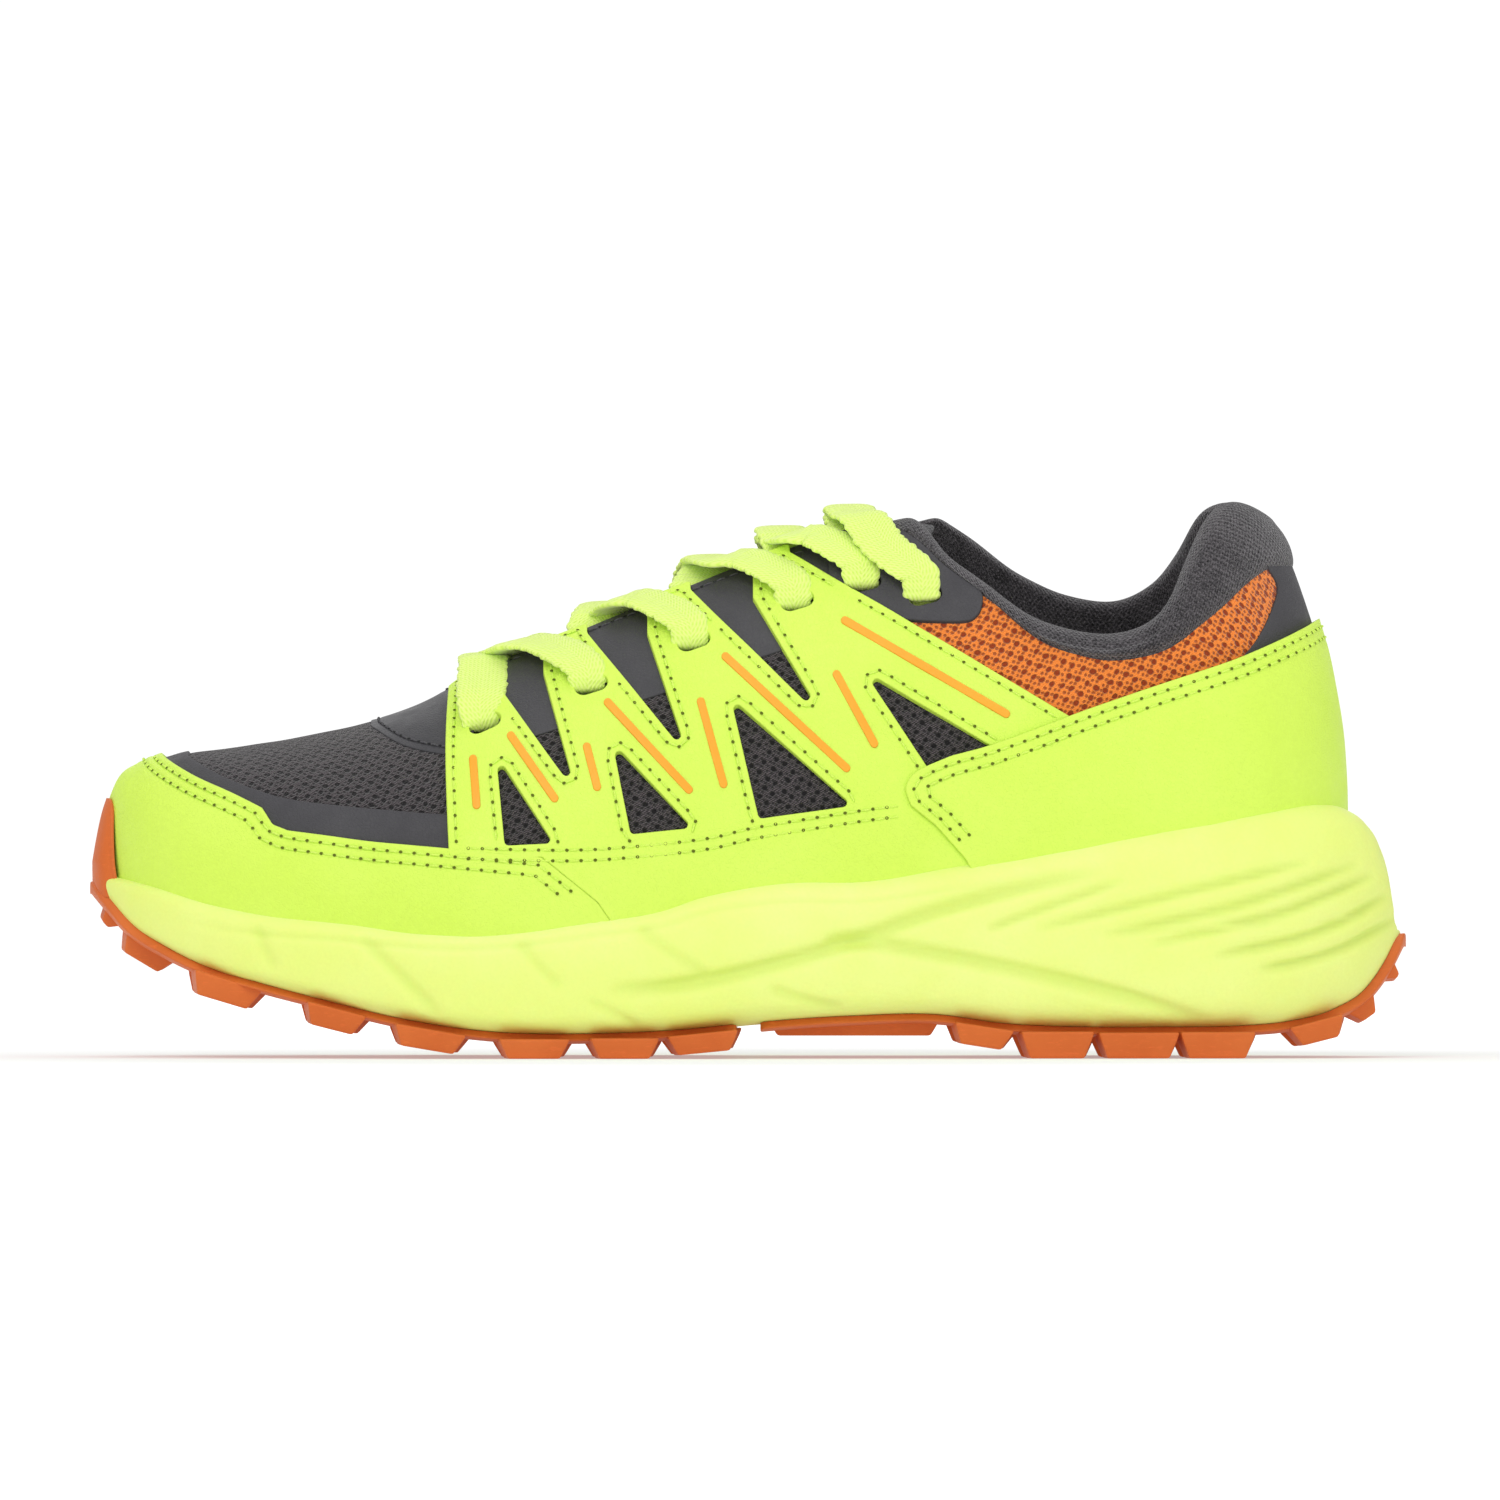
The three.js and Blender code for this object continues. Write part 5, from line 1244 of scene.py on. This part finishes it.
def relax_cloth(obj, pinned, cap=1.4, pressure=3.0):
    """Inflates a sewn cover over its padding, with its seams held, and keeps every point near its place."""
    mesh = obj.data
    rest = np.empty(len(mesh.vertices) * 3)
    mesh.vertices.foreach_get("co", rest)
    group = obj.vertex_groups.new(name="seams")
    group.add([int(i) for i in np.nonzero(pinned(rest.reshape(-1, 3) / MM))[0]], 1.0, "REPLACE")
    cloth = obj.modifiers.new("cloth", "CLOTH")
    for key, value in CLOTH.items():
        setattr(cloth.settings, key, value)
    cloth.settings.uniform_pressure_force = pressure
    cloth.settings.effector_weights.gravity = 0
    cloth.point_cache.frame_end = FRAMES
    for f in range(1, FRAMES + 1):
        bpy.context.scene.frame_set(f)
    done = obj.evaluated_get(bpy.context.evaluated_depsgraph_get()).to_mesh()
    moved = np.empty(len(rest))
    done.vertices.foreach_get("co", moved)
    obj.modifiers.remove(cloth)
    shift = (moved - rest).reshape(-1, 3)
    size = np.linalg.norm(shift, axis=1, keepdims=True)
    shift *= np.minimum(1, cap * MM / np.maximum(size, 1e-9))
    mesh.vertices.foreach_set("co", (rest.reshape(-1, 3) + shift).ravel())
    mesh.update()
    bpy.context.scene.frame_set(1)


COLLAR_INSIDE = [  # down the inner face: how far down, and how much thinner the padding is there
    (0.12, -0.5), (0.25, -0.5), (0.4, 0.3), (0.55, 1.6), (0.7, 2.6), (0.82, 3.0), (0.92, 3.2), (1.0, 3.4)]


COLLAR_FRONT, COLLAR_ROWS = 30.8, 150
RIM_ROUND = 0.42  # how much of the padding's thickness the rounded rim stands up


def collar_section(edge_z, rim_z, thick, puff, low):
    """Heights and offsets up the collar's outer face, over its rim and down its inner face."""
    rim_rise = thick * RIM_ROUND
    top_z, radius, inner_off = rim_z - rim_rise, thick / 2, 0.9 - thick
    section = [(edge_z - 0.9, -0.3), (edge_z, 0.25), (edge_z + 0.5, 0.75)]
    for s in np.arange(1, 8) / 8:
        up = edge_z + 0.5 + (top_z - edge_z - 0.5) * s
        section.append((up, 0.75 + puff * np.sin(s * np.pi) ** 0.7 + 0.15 * s))
    for a in np.pi * np.arange(11) / 10:
        section.append((top_z + rim_rise * np.sin(a), 0.9 - radius + radius * np.cos(a)))
    for s, add in COLLAR_INSIDE:
        if puff <= 0.9 and add > 0:
            add = min(add, -inner_off - 3.2)
        section.append((top_z + (low - top_z) * s, inner_off + add))
    return section


def build_collar():
    """The padded collar: one cover from its sewn edge, over the rim and down inside to the footbed."""
    lateral, medial = smooth_line(collar_lateral, 8), smooth_line(collar_medial, 8)
    band = smooth_line([[28, 116], [31.5, 112.3], [36.8, 108.4], [42, 103.6]] + band_edge, 8)
    rows = []
    there = np.linspace(u_at(COLLAR_FRONT), upper.length - 0.02, COLLAR_ROWS)
    us = np.concatenate([there, there[::-1][1:]])
    sides = np.concatenate([-np.ones(COLLAR_ROWS), np.ones(COLLAR_ROWS - 1)])
    for u, side in zip(us, sides):
        rim = lateral if side < 0 else medial
        x0 = float(upper.station(u)[0])
        # the rim's height where this station's leaned wall meets it
        z = 112.0
        share = lean_share(x0)
        for _ in range(30):
            x = x0 - lean(z, share)
            z = 0.5 * z + 0.5 * float(np.interp(x, rim[:, 0], rim[:, 1]))
        # the front ends meet the tongue at the throat's edge
        reach = float(upper.point(np.array(u), np.array(across_fall(x0, throat_half(x0), side)))[2])
        z = min(z + 0.9 * bell((x - 49) / 7), reach + 0.6)
        # the sewn edge is lower than the rim, where the leaned wall stands further back
        edge_z = 95.0
        for _ in range(30):
            edge_z = 0.5 * edge_z + 0.5 * float(np.interp(x0 - lean(edge_z, share), band[:, 0], band[:, 1]))
        edge_z = min(edge_z + 0.2, z - 3.0)
        puff = np.clip((x - 36) / 26, 0.25, 1)
        thick = 3.2 + 4.6 * puff
        low = float(base_z(x0)) + 1.5
        ring = []
        for zz, off in collar_section(edge_z, z, thick, puff, low):
            v = float(upper.v_at(u, zz, off, side))
            ring.append(upper.point(np.array(u), np.array(v), np.array(off)))
        rows.append(ring)
    rows = np.array(rows)
    n, m = rows.shape[:2]
    # smooth across the rows so that the rim runs on evenly round the heel
    for _ in range(3):
        rows[1:-1] = 0.25 * rows[:-2] + 0.5 * rows[1:-1] + 0.25 * rows[2:]
    faces = [[i * m + j, (i + 1) * m + j, (i + 1) * m + j + 1, i * m + j + 1]
             for i in range(n - 1) for j in range(m - 1)]
    run_v = np.array([run_along(row) for row in rows])
    run_u = run_along(rows[:, 12])
    uv = np.stack([np.repeat(run_u, m), run_v.ravel()], 1)
    obj = make_object("padded_collar", rows.reshape(-1, 3), faces, uv, {"seam": np.zeros(n * m)})
    held = {tuple(np.round(q, 2)) for k in (0, 1, m - 1, m - 2, m - 3, m - 4) for q in rows[:, k]}
    held |= {tuple(np.round(q, 2)) for k in (0, n - 1) for q in rows[k]}
    flip_outward(obj)
    relax_cloth(obj, lambda p: np.array([tuple(np.round(q, 2)) in held for q in p]))
    subdivide(obj)
    finish_piece(obj, "lining", "collar_lining", "collar_foam")


def flip_outward(obj):
    """Turns a sheet's faces so that its sewn outer side looks away from the shoe's middle."""
    bm = bmesh.new()
    bm.from_mesh(obj.data)
    bm.faces.ensure_lookup_table()
    f = max(bm.faces, key=lambda q: q.calc_center_median().x)
    if f.normal.x < 0:
        bmesh.ops.reverse_faces(bm, faces=bm.faces[:])
    bm.to_mesh(obj.data)
    bm.free()


def subdivide(obj):
    modifier = obj.modifiers.new("round", "SUBSURF")
    modifier.levels = modifier.render_levels = 1
    modifier.uv_smooth = "PRESERVE_BOUNDARIES"


def build_tongue():
    """The padded tongue: a closed slab that follows the instep under the laces."""
    xs = np.linspace(-58.4, 40.2, 110)
    around = 44
    rows = []
    for i, x in enumerate(xs):
        s = i / (len(xs) - 1)
        end = np.sqrt(min(s / 0.03, (1 - s) / 0.09, 1))
        half = float(tongue_half(x)) * (0.7 + 0.3 * end)
        thick = (2.2 + 3.6 * ramp(x, -60, 40)) * np.clip(end, 0.15, 1)
        u = u_at(x)
        ring = []
        for k in range(around):
            a = 2 * np.pi * k / around
            y = half * full(np.cos(a), 0.8)
            side = -1 if y < 0 else 1
            fall = across_fall(x, abs(y), side)
            off = -4.6 - 2.6 * (1 - end) - thick / 2 + thick / 2 * full(np.sin(a), 0.7)
            ring.append(upper.point(np.array(u), np.array(fall if y else 1e-6), np.array(off)))
        rows.append(ring)
    rows = np.array(rows)
    n, m = rows.shape[:2]
    uv = np.stack([np.repeat(run_along(rows[:, m // 4]), m), (rows[..., 1] - SHIFT_Y).ravel()], 1)
    faces = tube_faces(n, m)
    faces[-2:] = [cap[::-1] for cap in faces[-2:]]  # the cloth settles differently if its caps are turned
    obj = make_object("padded_tongue", rows.reshape(-1, 3), faces, uv)
    face_outward(obj)
    relax_cloth(obj, lambda p: p[:, 0] < -54, cap=1.0, pressure=2.5)
    subdivide(obj)
    finish_piece(obj, "tongue", "tongue_face", "tongue_foam", "tongue_lining", body="tongue")


def build_lining():
    """The lining behind the toe and the quarters, cut below the collar's rim."""
    rim = np.array(collar_lateral)

    def lining(p):
        below = np.where(p[..., 0] > 33, p[..., 2] - np.interp(p[..., 0], rim[:, 0], rim[:, 1]) + 3, -9)
        return np.maximum(np.maximum(p[..., 0] - 47, below), -in_throat(p))

    finish_piece(
        panel("inner_lining", lining, (-3.5, -2.9), 1.6, u_range=(0, u_at(48)), relief=uneven_by(0.1)),
        "lining", "vamp_lining", "quarter_lining_lateral", "quarter_lining_medial")


def build_footbed():
    """The sockliner, dished towards its edges at the heel half."""
    us = np.linspace(0.4, upper.length - 0.4, 150)
    x, wide, tip = upper.station(us)
    clear = 1.3 * ramp(x, -10, 40)  # room below the padded collar, so that the heel end lifts
    rows = []
    for s in np.linspace(-1, 1, 41):
        half = (np.where(s < 0, half_lateral(x), half_medial(x)) - 5.3 - clear) * wide
        crown = 1.6 * np.abs(s) ** 3 * ramp(x, -20, 60)
        across = centre(x) + SHIFT_Y + half * s
        rows.append(np.stack([x - (5.0 + 1.3 * clear) * tip, across, base_z(x) + 5.6 + crown], -1))
    top = np.stack(rows, 1)
    under = top.copy()
    under[..., 2] = base_z(x)[:, None] + 1.7
    n, m = top.shape[:2]
    both = np.concatenate([top, under[:, ::-1]], 1)
    obj = make_object("footbed", both.reshape(-1, 3), tube_faces(n, 2 * m), both[..., :2].reshape(-1, 2))
    face_outward(obj)
    finish_piece(obj, "footbed", "sockliner", body="sockliner")


# ---------------------------------------------------------------- lace

LACE_WIDE, LACE_THICK, LACE_AROUND = 9.2, 1.9, 22
TAIL = [[35, 90], [31, 81], [24, 72], [13, 64], [-2, 58.6], [-14, 56]]  # tucked inside the wall, as in CAD


def across_fall(x, y, side):
    """The angle at which one side is y away from the ridge."""
    width = half_lateral(x) if side < 0 else half_medial(x)
    return side * (90 - np.degrees(np.arccos((y / width) ** (fullness(x) / 2))))


def lace_stops(first):
    """Where half the lace goes: (x, fall, offset, half width, half thickness), as in the CAD model."""
    flat = (LACE_WIDE * 0.55, LACE_THICK / 2)
    gathered = (LACE_WIDE * 0.4, LACE_THICK * 0.6)
    level = -2.4 if first < 0 else -0.6
    over, under = OVER_TOP + 1.0, -1.9
    stops, side = [], first
    x0 = EYELETS[0][0] + 0.4
    stops.append((x0, 0.0, over - 1.2, *flat))
    stops.append((x0, float(across_fall(x0, 7, side)), over - 0.8, *flat))
    stops.append((x0, float(across_fall(x0, 13, side)), over, *flat))
    for i, (x, z) in enumerate(EYELETS):
        fall = float(upper.v_at(u_at(x), z, 0, side))
        if not i:
            stops.append((x, fall - side * 8, over, *flat))
        stops.append((x - 0.5, fall - side * 2.0, over, LACE_WIDE * 0.46, LACE_THICK * 0.52))
        stops.append((x, fall + side * 0.8, 0.2, *gathered))
        stops.append((x, fall - side * 1.5, under - 0.6, *gathered))
        if i == len(EYELETS) - 1:
            break
        ahead, drop = EYELETS[i + 1][0] - x, EYELETS[i + 1][1]
        if ahead > 16:
            near = ((0.03, 12.6), (0.08, 7.6), (0.16, 0)), ((0.24, 7.6), (0.34, 12.8))
            far = ((0.54, 6.4), (0.8, 4.4))
        else:
            near = ((-0.05, 12.6), (-0.14, 7.6), (-0.2, 0)), ((-0.12, 7.6), (0.06, 12.8))
            far = ((0.34, 8.2), (0.68, 4.6))
        stops.append((x, fall - side * 7, under - 0.3, *flat))
        for (part, across), off in zip(near[0], (under - 0.2, level, level + 0.4)):
            stops.append((x + part * ahead, float(across_fall(x + part * ahead, across, side)), off, *flat))
        side = -side
        for (part, across), off in zip(near[1], (level + 1.0, over)):
            stops.append((x + part * ahead, float(across_fall(x + part * ahead, across, side)), off, *flat))
        for part, rise in far:
            here = x + part * ahead
            past_edge = abs(float(across_fall(here, 14.5, side)))
            down_wall = abs(float(upper.v_at(u_at(here), drop + rise, 0, side)))
            stops.append((here, side * max(past_edge, down_wall), over + 0.1, *flat))
    return stops, side


def steady(vectors, path, reach=3.4):
    """Vectors along a path, each the mean of those within a few millimetres of run."""
    run = run_along(path)
    near = bell((run[:, None] - run[None]) / reach)
    step = np.gradient(run)
    return (near * step) @ vectors / (near * step).sum(1, keepdims=True)


def unit(vectors):
    return vectors / np.linalg.norm(vectors, axis=1, keepdims=True)


def lace_path(first):
    """Half the lace's centre line, the way its width and thickness point, and its half sizes."""
    stops, side = lace_stops(first)
    for x, z in TAIL:
        fall = float(upper.v_at(u_at(x), z, 0, side))
        stops.append((x, fall, -6.0, LACE_WIDE * 0.28, LACE_THICK * 0.5))
    x, fall, off, *sizes = np.array(stops).T
    places = upper.point(upper.u_of(x), fall, off)
    ahead, behind = (upper.point(upper.u_of(x + dx), fall, off) for dx in (1, -1))
    outward = upper.point(upper.u_of(x), fall, off + 1) - places
    data = smooth_line(np.hstack([places, ahead - behind, np.array(sizes).T, outward]), 14)
    path, along, sizes, outward = data[:, :3], data[:, 3:6], data[:, 6:8], data[:, 8:]
    tangent = unit(np.gradient(path, axis=0))
    flat_way = np.cross(outward, tangent)
    flat_way *= np.sign((flat_way * along).sum(1, keepdims=True) + 1e-9)
    wide = steady(flat_way + 0.04 * unit(along), path)
    wide = unit(wide - (wide * tangent).sum(1, keepdims=True) * tangent)
    return path, wide, np.cross(tangent, wide), sizes


def build_laces():
    """Two halves of one flat braid, with toothed edges and a soft swell along the run."""
    points, faces, uv = [], [], []
    a = 2 * np.pi * np.arange(LACE_AROUND) / LACE_AROUND
    across, through = full(np.cos(a), 0.55), full(np.sin(a), 0.75)
    for first in (-1, 1):
        path, wide, thick, sizes = lace_path(first)
        run = run_along(path)
        tooth = np.abs(np.sin(np.pi * run / 2.3)) + 0.35 * np.sin(run * 1.7 + 2 * first)
        scallop = 1 + 0.085 * tooth[:, None] * (np.abs(across) > 0.75)
        swell = 1 + 0.1 * np.sin(run * 0.33 + first)[:, None]
        rib = 1 + 0.06 * np.sin(2 * np.pi * run / 1.9)[:, None]
        ring = (path[:, None] + wide[:, None] * (across * scallop * sizes[:, :1])[..., None]
                + thick[:, None] * (through * swell * sizes[:, 1:2] * rib)[..., None])
        faces += tube_faces(len(run), LACE_AROUND, sum(len(p) for p in points))
        points.append(ring.reshape(-1, 3))
        uv.append(np.stack([np.repeat(run, LACE_AROUND), (across * sizes[:, :1]).ravel()], 1))
    obj = make_object("flat_lace", np.vstack(points), faces, np.vstack(uv))
    face_outward(obj)
    finish_piece(obj, "lace", "lace")


# ---------------------------------------------------------------- studio

ROOM_LIGHT, ROOM_SHOWN = 0.54, 1.05
FLOOR_REACH, FLOOR_GLOW = 30000, 0.74
CAMERA_AWAY, FRAME_WIDE, SENSOR = 7.0, 0.3184, 36  # the first two in metres, the last in millimetres
LAMP_TARGET = Vector((0, 0, 0.06))
LAMPS = [  # name, place, size and power of each soft light
    ("key", (-0.5, -1.5, 1.5), 1.2, 13.5), ("fill", (0.9, -1.6, 0.5), 1.2, 4.5),
    ("top", (0.1, 0.2, 1.7), 1.4, 7), ("back", (0.0, 1.4, 1.0), 1.6, 3)]


def build_floor():
    """A pale floor that shows as plain white away from the shoe."""
    far, near = FLOOR_REACH, -FLOOR_REACH / 5
    corners = [(x, y, -0.05) for x, y in ((-far, near), (far, near), (far, far), (-far, far))]
    floor = make_object("studio_floor", corners, [[0, 1, 2, 3]])
    p = Paint("studio_paper", Specular_IOR_Level=0.1, Roughness=0.9)
    p.link("Base Color", p.mix(p.span(p.noise(3, 3), 0.3, 0.7), (0.6, 0.6, 0.6), (0.62, 0.62, 0.62)))
    p.shader.inputs["Emission Color"].default_value = (1, 1, 1, 1)
    away = p.node("ShaderNodeVectorMath", {0: p.spot}, operation="LENGTH").outputs["Value"]
    p.link("Emission Strength", p.span(away, 0.15, 0.45, 0.33, FLOOR_GLOW))
    floor.data.materials.append(p.material)


def build_room():
    """White light all round: the room is seen white, and lights the shoe less than it shows."""
    world = bpy.data.worlds.new("soft_room")
    bpy.context.scene.world = world
    world.use_nodes = True
    tree = world.node_tree
    back = tree.nodes["Background"]
    back.inputs["Color"].default_value = (1.0, 1.0, 1.0, 1.0)
    path = tree.nodes.new("ShaderNodeLightPath")
    shown = tree.nodes.new("ShaderNodeMapRange")
    shown.inputs[3].default_value, shown.inputs[4].default_value = ROOM_LIGHT, ROOM_SHOWN
    tree.links.new(path.outputs["Is Camera Ray"], shown.inputs[0])
    tree.links.new(shown.outputs[0], back.inputs["Strength"])


def build_lamps():
    """A broad key from above the camera, a fill, and light from the top and the back."""
    for name, place, size, power in LAMPS:
        light = bpy.data.lights.new(name, "AREA")
        light.shape = "DISK"
        light.size = size
        light.energy = power
        lamp = add_object(name, light)
        lamp.location = place
        lamp.rotation_euler = (LAMP_TARGET - Vector(place)).to_track_quat("-Z", "Y").to_euler()


def build_camera():
    """A long lens that looks straight at the lateral side."""
    data = bpy.data.cameras.new("view")
    data.sensor_width = SENSOR
    data.lens = SENSOR * (CAMERA_AWAY - 0.01) / FRAME_WIDE
    data.clip_end = 20
    camera = add_object("view", data)
    camera.location = (0.0005, -CAMERA_AWAY, 0.0652)
    camera.rotation_euler = (np.pi / 2, 0, 0)
    bpy.context.scene.camera = camera
    bpy.context.scene.view_settings.view_transform = "Standard"


build_camera()
build_floor()
build_room()
build_lamps()
build_panels()
build_stitching()
build_midsole()
build_outsole()
build_collar()
build_tongue()
build_lining()
build_footbed()
build_laces()
paint_nodes("board", "strobel_board", "toe_puff", "heel_counter")
paint_nodes("aglet", "aglet_lateral", "aglet_medial")
